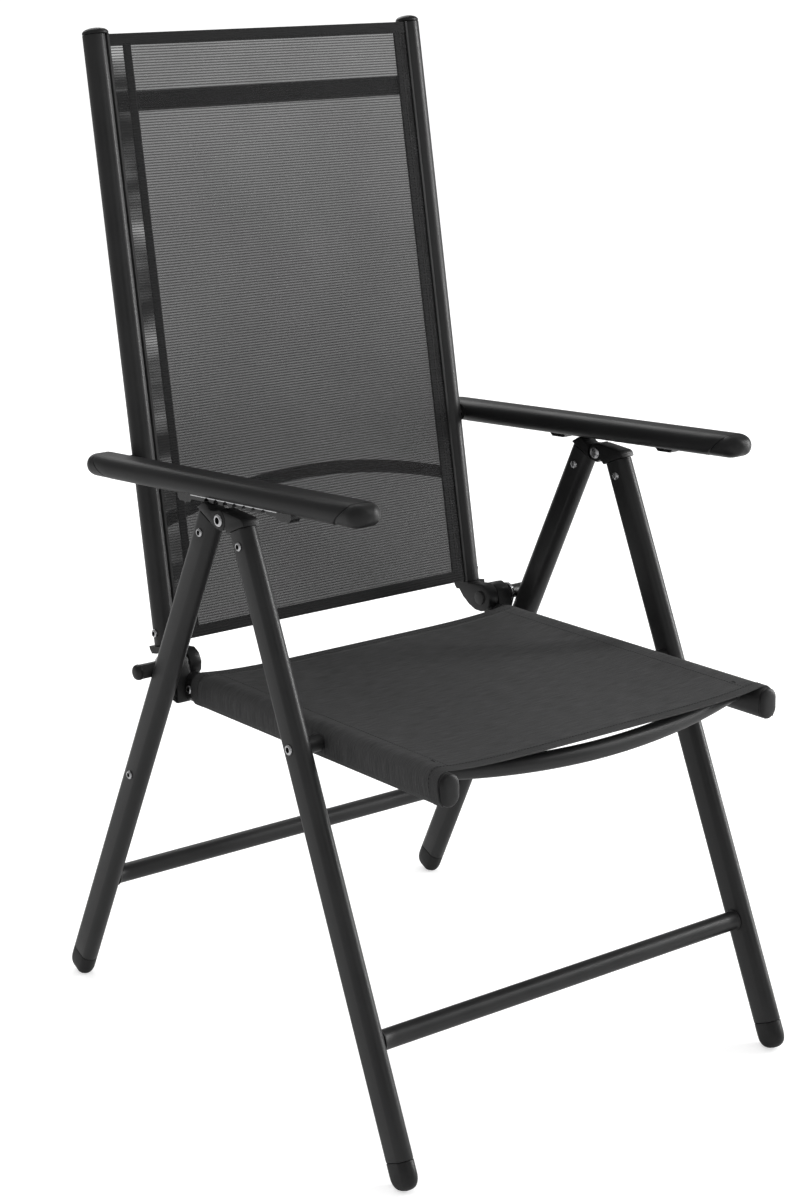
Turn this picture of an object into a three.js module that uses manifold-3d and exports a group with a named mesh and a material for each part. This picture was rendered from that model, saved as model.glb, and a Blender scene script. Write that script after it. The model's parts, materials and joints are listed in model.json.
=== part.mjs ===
// Folding high-back patio chair with a sling seat and back, in millimetres.
// The chair faces -Y, +Z is up, +X is on the right as seen from the front and the floor is z = 0.
import * as THREE from "three";
import { mergeVertices } from "three/addons/utils/BufferGeometryUtils.js";
import Module from "manifold-3d";

const wasm = await Module();
wasm.setup();

// Clearances between pieces
const seatGap = 0.3; // between pieces that rest on or in each other
const runningGap = 0.1; // round a pin that turns in its bore
const overrun = 2; // how far a cut runs past the face it opens
const mergeTolerance = 1e-4; // points nearer than this become one
const outlineTolerance = 1e-3; // and points of an outline

// Leg frames, hung from the leg pivot under the armrest
const legPivotHeight = 604.1;
const rearLegLean = 23.9; // degrees from upright
const frontLegLean = 25.5;
const rearLegOffset = 22.7; // leg axis behind the pivot, square to the leg
const frontLegOffset = 24.1; // leg axis ahead of the pivot, square to the leg
const legCentreX = 254.5;
const legWidth = 20;
const legDepth = 33;
const legWall = 1.6;
const rearLegTop = 12; // tube end below the pivot, along the leg
const frontLegTop = 16;
const bracketRivetReach = 32.5; // rivet below the pivot, along either leg
const bracketPlugLength = 34;
const lugRadius = 11;
const cornerRadius = 4;
const headBevel = 2;
const frontHeadHeight = 10; // level top of the front bracket over the pivot

// Feet
const footDomeLength = 17;
const footCollar = 12;
const footPlugLength = 26;
const footFlatCut = 1.6; // how much of the dome the floor flat takes off

// Leg crossbars
const crossbarRadius = 10.3;
const crossbarWall = 1.4;
const rearCrossbarReach = 524.5; // below the pivot, along the leg
const frontCrossbarReach = 536;

// Seat frame, hung on the front legs
const seatPivotReach = 239.4; // below the leg pivot, along the front leg
const seatTilt = 2.72; // degrees, front end up
const seatTubeDrop = 2.5; // tube axis below the seat pivot
const railCentreX = 213.5;
const seatTubeWidth = 22;
const seatTubeHeight = 33;
const seatTubeWall = 1.5;
const seatFrontReach = 192.5; // tube end ahead of the seat pivot
const seatHingeSetback = 3.1; // tube end ahead of the hinge knuckle
const seatPlugLength = 28;
const seatPlugDome = 9;
const seatRivetInset = 7; // rivet ahead of the tube's rear end
const frontBowReach = 151; // ends of the front bow ahead of the seat pivot
const frontBowAhead = 22; // its middle ahead of its ends
const frontBowRadius = 9.5;
const frontBowDrop = 17;
const frontBowLevel = 6.5; // its ends above the tube axis
const rearBarReach = 196;
const rearBarRadius = 9;
const rearBarLevel = -5;
const barWall = 1.3;

// Hinge between seat and back: its pin bears on the rear face of the rear leg
const hingeReach = 238.5; // below the leg pivot, along the rear leg
const hingePinRadius = 8;
const hingePinInnerX = 198.5;
const hingePinOuterX = 270;
const hingeCapLength = 6;
const hingeCapLip = 0.6;
const hingeCapSpigot = 4;
const hingePinBore = 5;
const backKnuckleRadius = 17;
const seatKnuckleRadius = 16;
const backKnuckleInnerX = 201;
const backKnuckleStartTurn = 75; // degrees at which its round starts
const backKnuckleEndTurn = 280;
const backKnuckleOuterX = 216;
const seatKnuckleOuterX = 235;

// Side link from the hinge pin down to the rear leg
const linkThickness = 3;
const linkPivotReach = 366.1; // below the leg pivot, along the rear leg
const linkTopRadius = 12.5;
const linkFootRadius = 9.5;

// Back frame
const backLean = 12.2;
const backOffset = 33.2; // tube axis behind the hinge, square to the back
const backTubeRadius = 13;
const backTubeWall = 1.7;
const backTubeStart = 18; // tube end above the hinge, along the back
const overallHeight = 1070;
const backCapDome = 5;
const backCapPlug = 22;
const backPlugLength = 34;
const backRivetReach = 32;
const railBlockDepth = 8; // sling channel on the inner side of the tube, flush with its front
const railBlockReach = 6; // how far it stands past the round of the tube
const railSlot = 2.6;
const railBeadRadius = 2.5;
const railGroove = 1.1;
const upperBarDrop = 76.2; // below the caps' tops, along the back
const upperBarHeight = 22;
const upperBarDepth = 15;
const lumbarReach = 144.5;
const lumbarRadius = 7.6;
const lumbarRise = 33;
const lumbarSetBack = 9;
const lumbarBehindSling = 3;

// Slings
const slingThickness = 1.2;
const backSlingStart = 20; // above the hinge, along the back
const backSlingTopMargin = 1.5; // sling below the tube top
const slingBead = 1.9;
const seatSlingThickness = 1.6;
const seatSlingFrontMargin = 22.5; // edge behind the tube's front end
const seatSlingRivetGap = 1.4; // rear edge ahead of the fitting rivet
const seatSlingSag = 6;
const seatFlapTurn = 50; // degrees the flap turns under the tube

// Armrests, each on a bolt through the back tube
const armPivotReach = 217.5; // above the hinge, along the back
const armTilt = 6; // degrees, front end up
const armWidth = 37.5;
const armThickness = 24.6;
const armCentreX = 247;
const armFrontReach = 440;
const armRearReach = 44.5;
const armDomeLength = 9;
const armBoltRadius = 3.5;
const armBoltHeadRadius = 4.7;
const armNutRadius = 7.5;
const armBoltHeadLength = 3;
const bushWall = 4.5;
const bushLength = 15;
const bushFlange = 1.3;
const bushFlangeLip = 2;

// Notched rack under each armrest and the horn that it rests on
const rackWidth = 12;
const rackRearLand = 23; // plain length behind the notches, before the tab
const rackFrontLand = 15.8;
const rackTabLength = 26;
const rackTabDrop = 3.4;
const rackTopDepth = 6; // channel roof below the armrest's axis
const rackStandOut = 2.4; // teeth below the armrest's underside
const notchReach = 190.5; // first notch ahead of the armrest bolt
const notchCount = 7;
const notchPitch = 16.7;
const notchRadius = 4.5;
const catchDepth = 0.55; // how far the horn stands into a notch
const hornRadius = 8.5;
const hornRearTurn = 35; // degrees at which its round top starts
const hornTurn = 125; // and ends
const hornDip = 3; // how far the slope between horn and lug sags
const hornLugTurn = 65; // degrees at which its front slope meets the lug

// Rivets and bolts
const rivetRadius = 3;
const rivetHeadRadius = 4.6;
const rivetHeadHeight = 2;
const pivotRivetRadius = 4;
const pivotHeadRadius = 6.6;
const washerRadius = 7.5;
const spacerRadius = 8.5;

// Facets: three.js splits an arc into twice its count of curve segments, so counts are halved in use
const roundSegments = 16;
const ovalSegments = 4; // facets of each quarter round
const outlineSegments = 6; // facets of each arc of a bracket
const boreSegments = 12;
const bowSteps = 16;
const bowShares = [-1, -0.75, -0.5, -0.25, 0, 0.25, 0.5, 0.75, 1];
const sagShares = [-0.6, -0.3, 0, 0.3, 0.6]; // where the seat sling's section has its points
const flapSteps = 2;
const shoulderSteps = 5;
const grooveSegments = 3;

const upright = Math.PI / 2;
const halfTurn = Math.PI;
const fullTurn = 2 * Math.PI;
const radians = THREE.MathUtils.degToRad;

const legInnerX = legCentreX - legWidth / 2;
const legOuterX = legCentreX + legWidth / 2;
const seatTubeOuterX = railCentreX + seatTubeWidth / 2;
const flapOuterX = seatTubeOuterX + seatGap + seatSlingThickness;
const seatKnuckleInnerX = backKnuckleOuterX + seatGap;
const linkInnerX = seatKnuckleOuterX + 2 * seatGap;
const linkOuterX = linkInnerX + linkThickness;
const backTubeOuterX = railCentreX + backTubeRadius;
const railInnerX = railCentreX - backTubeRadius - railBlockReach;
const rackInnerX = legCentreX - rackWidth / 2;
const rackRearReach = notchReach - notchRadius - rackRearLand - rackTabLength;
const lastNotchReach = notchReach + (notchCount - 1) * notchPitch;
const rackFrontReach = lastNotchReach + notchRadius + rackFrontLand + rackTabLength;
const hornTopLevel = -armThickness / 2 - rackStandOut + catchDepth;

const paint = { color: 0x303032, roughness: 0.42, metalness: 0.3 };
const plastic = { color: 0x262627, roughness: 0.55, metalness: 0 };
const steel = { color: 0xb9babb, roughness: 0.28, metalness: 0.9 };
const cloth = { color: 0x48494b, roughness: 0.85, metalness: 0 };

// Solids: booleans on closed geometries

function solidOf(geometry) {
  const bare = new THREE.BufferGeometry();
  bare.setAttribute("position", geometry.getAttribute("position"));
  if (geometry.index) {
    bare.setIndex(geometry.index);
  }
  const merged = mergeVertices(bare, mergeTolerance);
  return new wasm.Manifold(
    new wasm.Mesh({
      numProp: 3,
      vertProperties: merged.attributes.position.array,
      triVerts: new Uint32Array(merged.index.array),
    }),
  );
}

function geometryOf(solid) {
  const mesh = solid.getMesh();
  const geometry = new THREE.BufferGeometry();
  geometry.setAttribute("position", new THREE.BufferAttribute(mesh.vertProperties, 3));
  geometry.setIndex(new THREE.BufferAttribute(mesh.triVerts, 1));
  return geometry;
}

function joined(...geometries) {
  const solids = geometries.map(solidOf);
  return geometryOf(solids.reduce((sum, next) => sum.add(next)));
}

function cut(geometry, ...tools) {
  const solid = tools.map(solidOf).reduce((rest, tool) => rest.subtract(tool), solidOf(geometry));
  return geometryOf(solid);
}

// Outlines

function oval(width, height, centreX = 0, centreY = 0) {
  const radius = Math.min(width, height) / 2;
  const runX = width / 2 - radius;
  const runY = height / 2 - radius;
  const shape = new THREE.Shape();
  shape.absarc(centreX + runX, centreY + runY, radius, 0, upright);
  if (runX > 0) {
    shape.absarc(centreX - runX, centreY + runY, radius, upright, halfTurn);
    shape.absarc(centreX - runX, centreY - runY, radius, halfTurn, halfTurn + upright);
  } else {
    shape.absarc(centreX, centreY + runY, radius, upright, halfTurn);
    shape.absarc(centreX, centreY - runY, radius, halfTurn, halfTurn + upright);
  }
  shape.absarc(centreX + runX, centreY - runY, radius, halfTurn + upright, fullTurn);
  shape.closePath();
  return shape;
}

function disc(radius, centreX = 0, centreY = 0) {
  const shape = new THREE.Shape();
  shape.absarc(centreX, centreY, radius, 0, fullTurn);
  return shape;
}

function withHole(shape, hole) {
  shape.holes.push(hole);
  return shape;
}

// Straight extrusions. A side outline is drawn in (y, z), a level one in (x, y), an end one in (x, z).

function extruded(shape, length, segments) {
  return new THREE.ExtrudeGeometry(shape, {
    depth: length,
    bevelEnabled: false,
    curveSegments: segments / 2,
    steps: 1,
  });
}

function placed(geometry, axisX, axisY, axisZ, origin) {
  const matrix = new THREE.Matrix4().makeBasis(axisX, axisY, axisZ).setPosition(origin);
  return geometry.applyMatrix4(matrix);
}

const alongX = new THREE.Vector3(1, 0, 0);
const alongY = new THREE.Vector3(0, 1, 0);
const alongZ = new THREE.Vector3(0, 0, 1);
const backAlongY = new THREE.Vector3(0, -1, 0);

function acrossChair(sideShape, fromX, toX, segments = ovalSegments) {
  const geometry = extruded(sideShape, toX - fromX, segments);
  return placed(geometry, alongY, alongZ, alongX, new THREE.Vector3(fromX, 0, 0));
}

function softenedAcross(sideShape, fromX, toX, bevel) {
  const outline = new THREE.Shape(uniquePoints(sideShape.getPoints(outlineSegments / 2)));
  const geometry = new THREE.ExtrudeGeometry(outline, {
    depth: toX - fromX - 2 * bevel,
    bevelEnabled: true,
    bevelThickness: bevel,
    bevelSize: bevel,
    bevelOffset: -bevel,
    bevelSegments: 2,
    steps: 1,
  });
  return placed(geometry, alongY, alongZ, alongX, new THREE.Vector3(fromX + bevel, 0, 0));
}

function upward(levelShape, fromZ, toZ, segments = ovalSegments) {
  const geometry = extruded(levelShape, toZ - fromZ, segments);
  return geometry.translate(0, 0, fromZ);
}

function rearward(endShape, fromY, toY, segments = ovalSegments) {
  const geometry = extruded(endShape, toY - fromY, segments);
  return placed(geometry, alongX, alongZ, backAlongY, new THREE.Vector3(0, toY, 0));
}

// A round hole's facets stand outside its true circle, so a pin at any angle runs free
function boreOutline(radius, segments, y = 0, z = 0) {
  return disc(radius / Math.cos(halfTurn / segments), y, z);
}

function bore(radius, fromX, toX, y, z, segments = boreSegments) {
  return acrossChair(boreOutline(radius, segments, y, z), fromX, toX, segments);
}

// A skin over closed rings of equal counts, closed at both ends
function skinned(rings) {
  const count = rings[0].length;
  const points = rings.flat();
  const faces = [];
  for (let ring = 0; ring + 1 < rings.length; ring += 1) {
    for (let step = 0; step < count; step += 1) {
      const next = (step + 1) % count;
      const low = ring * count;
      const high = low + count;
      faces.push(low + step, low + next, high + next);
      faces.push(low + step, high + next, high + step);
    }
  }
  const last = (rings.length - 1) * count;
  for (let step = 1; step + 1 < count; step += 1) {
    faces.push(0, step + 1, step);
    faces.push(last, last + step, last + step + 1);
  }
  const geometry = new THREE.BufferGeometry().setFromPoints(points);
  geometry.setIndex(faces);
  return geometry;
}

function levelRing(width, depth, x, y, z) {
  const points = oval(width, depth).getPoints(ovalSegments / 2);
  return uniquePoints(points).map((p) => new THREE.Vector3(x + p.x, y + p.y, z));
}

function uprightRing(width, height, x, y, z) {
  const points = oval(width, height).getPoints(ovalSegments / 2);
  return uniquePoints(points).map((p) => new THREE.Vector3(x - p.x, y, z + p.y));
}

function uniquePoints(points) {
  return points.filter((p, i) => {
    const before = points[(i + points.length - 1) % points.length];
    return p.distanceTo(before) > outlineTolerance;
  });
}

// A domed end: how much of the full size each ring keeps, at which share of the dome's length
const domeLengthShares = [0, 0.35, 0.68, 0.9, 1];
const domeSizeShares = [1, 0.965, 0.84, 0.62, 0.3];

// A pin turned about a line along X: radii at places across the chair
function turnedPin(stations, y, z, segments = boreSegments) {
  const profile = [new THREE.Vector2(0, stations[0][0])];
  for (const [x, radius] of stations) {
    profile.push(new THREE.Vector2(radius, x));
  }
  profile.push(new THREE.Vector2(0, stations[stations.length - 1][0]));
  const geometry = new THREE.LatheGeometry(profile, segments);
  return placed(geometry, alongY, alongX, alongZ.clone().negate(), new THREE.Vector3(0, y, z));
}

function domedHead(faceX, radius, height, outward) {
  const heightShares = [0, 0.45, 0.8, 1];
  const radiusShares = [1, 0.9, 0.66, 0.3];
  const stations = heightShares.map((share, i) => [
    faceX + outward * share * height,
    radius * radiusShares[i],
  ]);
  return outward > 0 ? stations : stations.reverse();
}

// Frames: each group stands at its pivot and leans with its tubes

const chair = new THREE.Group();
chair.name = "sling_patio_chair";

function frameAt(name, y, z, turnDegrees) {
  const frame = new THREE.Group();
  frame.name = name;
  frame.position.set(0, y, z);
  frame.rotation.x = radians(turnDegrees);
  chair.add(frame);
  chair.updateMatrixWorld(true);
  return frame;
}

function inFrame(from, y, z, to) {
  const point = from.localToWorld(new THREE.Vector3(0, y, z));
  return to ? to.worldToLocal(point) : point;
}

const rearLegs = frameAt("rear_legs", 0, legPivotHeight, rearLegLean);
const frontLegs = frameAt("front_legs", 0, legPivotHeight, -frontLegLean);

const seatPivot = inFrame(frontLegs, -frontLegOffset, -seatPivotReach);
const seat = frameAt("seat", seatPivot.y, seatPivot.z - seatTubeDrop, -seatTilt);

const hingeBehindLeg = rearLegOffset + legDepth / 2 + seatGap + hingePinRadius;
const hinge = inFrame(rearLegs, hingeBehindLeg, -hingeReach);
const pins = frameAt("hinge_pins", hinge.y, hinge.z, 0);
const back = frameAt("back", hinge.y, hinge.z, -backLean);

const linkPivot = inFrame(rearLegs, rearLegOffset, -linkPivotReach);
const linkLength = Math.hypot(hinge.y - linkPivot.y, hinge.z - linkPivot.z);
const linkTurn = Math.atan2(linkPivot.y - hinge.y, hinge.z - linkPivot.z);
const links = frameAt("side_links", linkPivot.y, linkPivot.z, THREE.MathUtils.radToDeg(linkTurn));

const armPivot = inFrame(back, backOffset, armPivotReach);
const armrests = frameAt("armrests", armPivot.y, armPivot.z, -armTilt);

function piece(frame, name, geometry, look) {
  const mesh = new THREE.Mesh(geometry, new THREE.MeshStandardMaterial(look));
  mesh.name = name;
  frame.add(mesh);
  return mesh;
}

function pair(frame, name, geometry, look) {
  piece(frame, name + "_right", geometry, look);
  piece(frame, name + "_left", geometry, look).scale.x = -1;
}

// Legs: flat oval tubes with riveted brackets on top and domed feet

function legTube(axisY, topZ, footZ, bores) {
  const section = withHole(
    oval(legWidth, legDepth, legCentreX, axisY),
    oval(legWidth - 2 * legWall, legDepth - 2 * legWall, legCentreX, axisY),
  );
  const tools = bores.map(([radius, z]) =>
    bore(radius + runningGap, legInnerX - overrun, legOuterX + overrun, axisY, z),
  );
  return cut(upward(section, footZ, topZ), ...tools);
}

function plugRing(axisY, z) {
  const inset = 2 * (legWall + seatGap);
  return levelRing(legWidth - inset, legDepth - inset, legCentreX, axisY, z);
}

// The dome's lowest point below the tube end, measured straight down
function domeDrop(lean) {
  const drops = domeLengthShares.map((share, i) => {
    const along = (footCollar + share * footDomeLength) * Math.cos(lean);
    return along + (domeSizeShares[i] * legDepth * Math.sin(lean)) / 2;
  });
  return Math.max(...drops);
}

function footEndZ(frame, axisY, leanDegrees) {
  const lean = radians(leanDegrees);
  const axisTop = inFrame(frame, axisY, 0).z;
  return -(axisTop - domeDrop(lean) + footFlatCut) / Math.cos(lean);
}

function foot(frame, axisY, endZ) {
  const rings = [plugRing(axisY, endZ + footPlugLength), plugRing(axisY, endZ - seatGap)];
  rings.push(levelRing(legWidth, legDepth, legCentreX, axisY, endZ - seatGap));
  domeLengthShares.forEach((share, i) => {
    const z = endZ - footCollar - share * footDomeLength;
    const size = domeSizeShares[i];
    rings.push(levelRing(legWidth * size, legDepth * size, legCentreX, axisY, z));
  });
  const solid = skinned(rings.reverse());
  const block = new THREE.BoxGeometry(2 * legWidth, 3 * legDepth, legDepth);
  const touch = inFrame(frame, axisY, endZ - footCollar - footDomeLength);
  block.translate(legCentreX, touch.y, -legDepth / 2);
  block.applyMatrix4(frame.matrixWorld.clone().invert());
  return cut(solid, block);
}

const rearFootZ = footEndZ(rearLegs, rearLegOffset, rearLegLean);
const frontFootZ = footEndZ(frontLegs, -frontLegOffset, frontLegLean);

pair(
  rearLegs,
  "rear_leg",
  legTube(rearLegOffset, -rearLegTop, rearFootZ, [
    [rivetRadius, -bracketRivetReach],
    [pivotRivetRadius, -linkPivotReach],
  ]),
  paint,
);
pair(
  frontLegs,
  "front_leg",
  legTube(-frontLegOffset, -frontLegTop, frontFootZ, [
    [rivetRadius, -bracketRivetReach],
    [pivotRivetRadius, -seatPivotReach],
  ]),
  paint,
);
pair(rearLegs, "rear_foot", foot(rearLegs, rearLegOffset, rearFootZ), plastic);
pair(frontLegs, "front_foot", foot(frontLegs, -frontLegOffset, frontFootZ), plastic);

function legCrossbar(y, z) {
  const section = withHole(disc(crossbarRadius, y, z), disc(crossbarRadius - crossbarWall, y, z));
  const reach = legInnerX - seatGap;
  return acrossChair(section, -reach, reach, roundSegments);
}

piece(rearLegs, "rear_crossbar", legCrossbar(rearLegOffset, -rearCrossbarReach), paint);
piece(frontLegs, "front_crossbar", legCrossbar(-frontLegOffset, -frontCrossbarReach), paint);

// Leg brackets: a plug in each tube, with lugs that lap side by side on the leg pivot

function bracketPlug(axisY, topZ) {
  const rings = [plugRing(axisY, topZ - bracketPlugLength), plugRing(axisY, topZ + overrun)];
  return skinned(rings);
}

function lugSpace(fromX, toX) {
  return bore(lugRadius + 2 * seatGap, fromX, toX, 0, 0, roundSegments);
}

function rearBracket() {
  const rearFace = rearLegOffset + legDepth / 2;
  const frontFace = rearLegOffset - legDepth / 2;
  const start = -rearLegTop + seatGap;
  const horn = inFrame(armrests, -notchReach, hornTopLevel - hornRadius, rearLegs);
  const lugStart = radians(hornLugTurn);
  const lugTop = new THREE.Vector2(lugRadius * Math.cos(lugStart), lugRadius * Math.sin(lugStart));
  const outline = new THREE.Shape();
  outline.moveTo(frontFace, start);
  outline.lineTo(rearFace, start);
  outline.absarc(horn.y, horn.z, hornRadius, radians(hornRearTurn), radians(hornTurn));
  outline.quadraticCurveTo(
    (horn.y + lugTop.x) / 2,
    (horn.z + lugTop.y) / 2 - hornDip,
    lugTop.x,
    lugTop.y,
  );
  outline.absarc(0, 0, lugRadius, lugStart, halfTurn + upright);
  outline.closePath();
  const head = softenedAcross(outline, legInnerX, legOuterX, headBevel);
  const plug = bracketPlug(rearLegOffset, -rearLegTop);
  return cut(
    joined(head, plug),
    lugSpace(legInnerX - overrun, legCentreX + seatGap / 2),
    bore(pivotRivetRadius + runningGap, legInnerX - overrun, legOuterX + overrun, 0, 0),
    bore(
      rivetRadius + runningGap,
      legInnerX - overrun,
      legOuterX + overrun,
      rearLegOffset,
      -bracketRivetReach,
    ),
  );
}

function frontBracket() {
  const frontFace = -frontLegOffset - legDepth / 2;
  const rearFace = -frontLegOffset + legDepth / 2;
  const start = -frontLegTop + seatGap;
  const lean = radians(frontLegLean);
  const topY = -frontHeadHeight * Math.sin(lean);
  const topZ = frontHeadHeight * Math.cos(lean);
  const cornerZ = topZ + (frontFace - topY) * Math.tan(lean);
  const outline = new THREE.Shape();
  outline.moveTo(frontFace, start);
  outline.lineTo(rearFace, start);
  outline.lineTo(-lugRadius * Math.sin(lean), -lugRadius * Math.cos(lean));
  outline.absarc(0, 0, lugRadius, -upright - lean, upright + lean);
  outline.lineTo(frontFace + cornerRadius, cornerZ + cornerRadius * Math.tan(lean));
  outline.quadraticCurveTo(frontFace, cornerZ, frontFace, cornerZ - cornerRadius);
  outline.closePath();
  const head = softenedAcross(outline, legInnerX, legOuterX, headBevel);
  const plug = bracketPlug(-frontLegOffset, -frontLegTop);
  return cut(
    joined(head, plug),
    lugSpace(legCentreX - seatGap / 2, legOuterX + overrun),
    bore(pivotRivetRadius + runningGap, legInnerX - overrun, legOuterX + overrun, 0, 0),
    bore(
      rivetRadius + runningGap,
      legInnerX - overrun,
      legOuterX + overrun,
      -frontLegOffset,
      -bracketRivetReach,
    ),
  );
}

pair(rearLegs, "rear_leg_bracket", rearBracket(), plastic);
pair(frontLegs, "front_leg_bracket", frontBracket(), plastic);

// Rivets through the legs: a domed head outside, a flatter one inside

function throughRivet(shank, head, height, y, z, innerX = legInnerX, outerX = legOuterX) {
  const stations = domedHead(innerX - seatGap, head, height, -1);
  stations.push([innerX - seatGap, shank], [outerX + seatGap, shank]);
  stations.push(...domedHead(outerX + seatGap, head, height, 1));
  return turnedPin(stations, y, z);
}

const bracketRivet = (y) =>
  throughRivet(rivetRadius, rivetHeadRadius, rivetHeadHeight, y, -bracketRivetReach);
pair(rearLegs, "rear_bracket_rivet", bracketRivet(rearLegOffset), steel);
pair(frontLegs, "front_bracket_rivet", bracketRivet(-frontLegOffset), steel);
pair(
  rearLegs,
  "leg_pivot_rivet",
  throughRivet(pivotRivetRadius, pivotHeadRadius, rivetHeadHeight, 0, 0),
  steel,
);

// A pivot rivet whose washer or spacer stands inside the leg and meets its neighbour face to face
function shoulderRivet(shoulderRadius, shoulderFaceX, y, z) {
  const stations = [
    [shoulderFaceX, shoulderRadius],
    [legInnerX - seatGap, shoulderRadius],
    [legInnerX - seatGap, pivotRivetRadius],
    [legOuterX + seatGap, pivotRivetRadius],
    ...domedHead(legOuterX + seatGap, rivetHeadRadius, rivetHeadHeight, 1),
  ];
  return turnedPin(stations, y, z);
}

pair(
  rearLegs,
  "link_rivet",
  shoulderRivet(washerRadius, linkOuterX + seatGap, rearLegOffset, -linkPivotReach),
  steel,
);
pair(
  frontLegs,
  "seat_pivot_bolt",
  shoulderRivet(spacerRadius, flapOuterX + seatGap, -frontLegOffset, -seatPivotReach),
  steel,
);

// Side links: flat steel plates from the hinge pin to the rear leg

function link() {
  const outline = new THREE.Shape();
  outline.absarc(0, 0, linkFootRadius, halfTurn, fullTurn);
  outline.absarc(0, linkLength, linkTopRadius, 0, halfTurn);
  outline.closePath();
  withHole(outline, boreOutline(hingePinRadius + runningGap, roundSegments, 0, linkLength));
  withHole(outline, boreOutline(pivotRivetRadius + runningGap, roundSegments));
  return acrossChair(outline, linkInnerX, linkOuterX, roundSegments);
}

pair(links, "side_link", link(), steel);

// Hinge pins and their end caps

function hingePin() {
  const section = withHole(disc(hingePinRadius), disc(hingePinBore));
  return acrossChair(section, hingePinInnerX, hingePinOuterX, roundSegments);
}

function hingeCap() {
  const lip = hingePinRadius + hingeCapLip;
  const face = hingePinOuterX + seatGap;
  const stations = [
    [face - hingeCapSpigot, hingePinBore - seatGap],
    [face, hingePinBore - seatGap],
    ...domedHead(face, lip, hingeCapLength, 1),
  ];
  return turnedPin(stations, 0, 0, roundSegments);
}

pair(pins, "hinge_pin", hingePin(), paint);
pair(pins, "hinge_pin_cap", hingeCap(), plastic);

// Seat frame: two oval side tubes, a bowed front bar, a straight rear bar and the hinge ends

const hingeInSeat = inFrame(pins, 0, 0, seat);
const seatRearReach = hingeInSeat.y - seatKnuckleRadius - seatHingeSetback;
const seatRivetReach = seatRearReach - seatRivetInset;
const seatSlingFront = seatFrontReach - seatSlingFrontMargin;
const seatSlingRear = seatRivetReach - rivetHeadRadius - seatSlingRivetGap;

function seatTube() {
  const section = withHole(
    oval(seatTubeWidth, seatTubeHeight, railCentreX, 0),
    oval(seatTubeWidth - 2 * seatTubeWall, seatTubeHeight - 2 * seatTubeWall, railCentreX, 0),
  );
  return cut(
    rearward(section, -seatFrontReach, seatRearReach),
    bore(
      rivetRadius + runningGap,
      railCentreX - seatTubeWidth,
      railCentreX + seatTubeWidth,
      seatRivetReach,
      0,
    ),
  );
}

function seatInset() {
  return 2 * (seatTubeWall + seatGap);
}

function seatFrontPlug() {
  const inset = seatInset();
  const face = -seatFrontReach - seatGap;
  const ring = (size, y) => uprightRing(seatTubeWidth * size, seatTubeHeight * size, railCentreX, y, 0);
  const plug = (y) =>
    uprightRing(seatTubeWidth - inset, seatTubeHeight - inset, railCentreX, y, 0);
  const rings = [plug(face + seatPlugLength), plug(face)];
  domeLengthShares.forEach((share, i) => {
    rings.push(ring(domeSizeShares[i], face - share * seatPlugDome));
  });
  return skinned(rings.reverse());
}

function seatHinge() {
  const inset = seatInset();
  const face = seatRearReach + seatGap;
  const half = seatTubeHeight / 2;
  const { y, z } = hingeInSeat;
  const plug = skinned([
    uprightRing(
      seatTubeWidth - inset,
      seatTubeHeight - inset,
      railCentreX,
      seatRearReach - seatPlugLength,
      0,
    ),
    uprightRing(seatTubeWidth - inset, seatTubeHeight - inset, railCentreX, face + overrun, 0),
  ]);
  const outline = new THREE.Shape();
  outline.moveTo(face, half - cornerRadius);
  outline.lineTo(face, -half + cornerRadius);
  outline.quadraticCurveTo(face, -half, face + cornerRadius, -half);
  outline.quadraticCurveTo(y + seatKnuckleRadius, -half, y + seatKnuckleRadius, z);
  outline.absarc(y, z, seatKnuckleRadius, 0, halfTurn);
  outline.closePath();
  const body = softenedAcross(outline, seatKnuckleInnerX, seatKnuckleOuterX, headBevel);
  const rivetFrom = railCentreX - seatTubeWidth;
  const rivetTo = railCentreX + seatTubeWidth;
  const knuckleSpace = backKnuckleRadius + 2 * seatGap;
  return cut(
    joined(plug, body),
    bore(knuckleSpace, rivetFrom, seatKnuckleInnerX, y, z, roundSegments),
    bore(hingePinRadius + runningGap, rivetFrom, legInnerX, y, z, roundSegments),
    bore(rivetRadius + runningGap, rivetFrom, rivetTo, seatRivetReach, 0),
  );
}

function railEnvelopes() {
  const width = seatTubeWidth + 2 * seatGap;
  const height = seatTubeHeight + 2 * seatGap;
  return [railCentreX, -railCentreX].map((x) =>
    rearward(oval(width, height, x, 0), -seatFrontReach, seatRearReach),
  );
}

// A round bar bowed from one side tube to the other
function bowedBar(radius, ends, middle) {
  const section = withHole(disc(radius), disc(radius - barWall));
  const path = new THREE.CatmullRomCurve3(
    bowShares.map((share) => {
      const bend = 1 - share * share;
      return new THREE.Vector3(
        share * ends.x,
        ends.y + bend * (middle.y - ends.y),
        ends.z + bend * (middle.z - ends.z),
      );
    }),
  );
  return new THREE.ExtrudeGeometry(section, {
    steps: bowSteps,
    bevelEnabled: false,
    curveSegments: boreSegments / 2,
    extrudePath: path,
  });
}

function seatFrontBow() {
  const ends = new THREE.Vector3(railCentreX, -frontBowReach, frontBowLevel);
  const middle = new THREE.Vector3(
    0,
    -frontBowReach - frontBowAhead,
    frontBowLevel - frontBowDrop,
  );
  const bar = bowedBar(frontBowRadius, ends, middle);
  return largestPart(cut(bar, ...railEnvelopes()));
}

// The longest of the pieces that a cut leaves, which is the bar between the tubes
function largestPart(geometry) {
  const parts = solidOf(geometry).decompose();
  parts.sort((a, b) => b.volume() - a.volume());
  return geometryOf(parts[0]);
}

function seatRearBar() {
  const section = withHole(
    disc(rearBarRadius, rearBarReach, rearBarLevel),
    disc(rearBarRadius - barWall, rearBarReach, rearBarLevel),
  );
  const reach = railCentreX - seatTubeWidth / 2 - seatGap;
  return acrossChair(section, -reach, reach, roundSegments);
}

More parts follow.
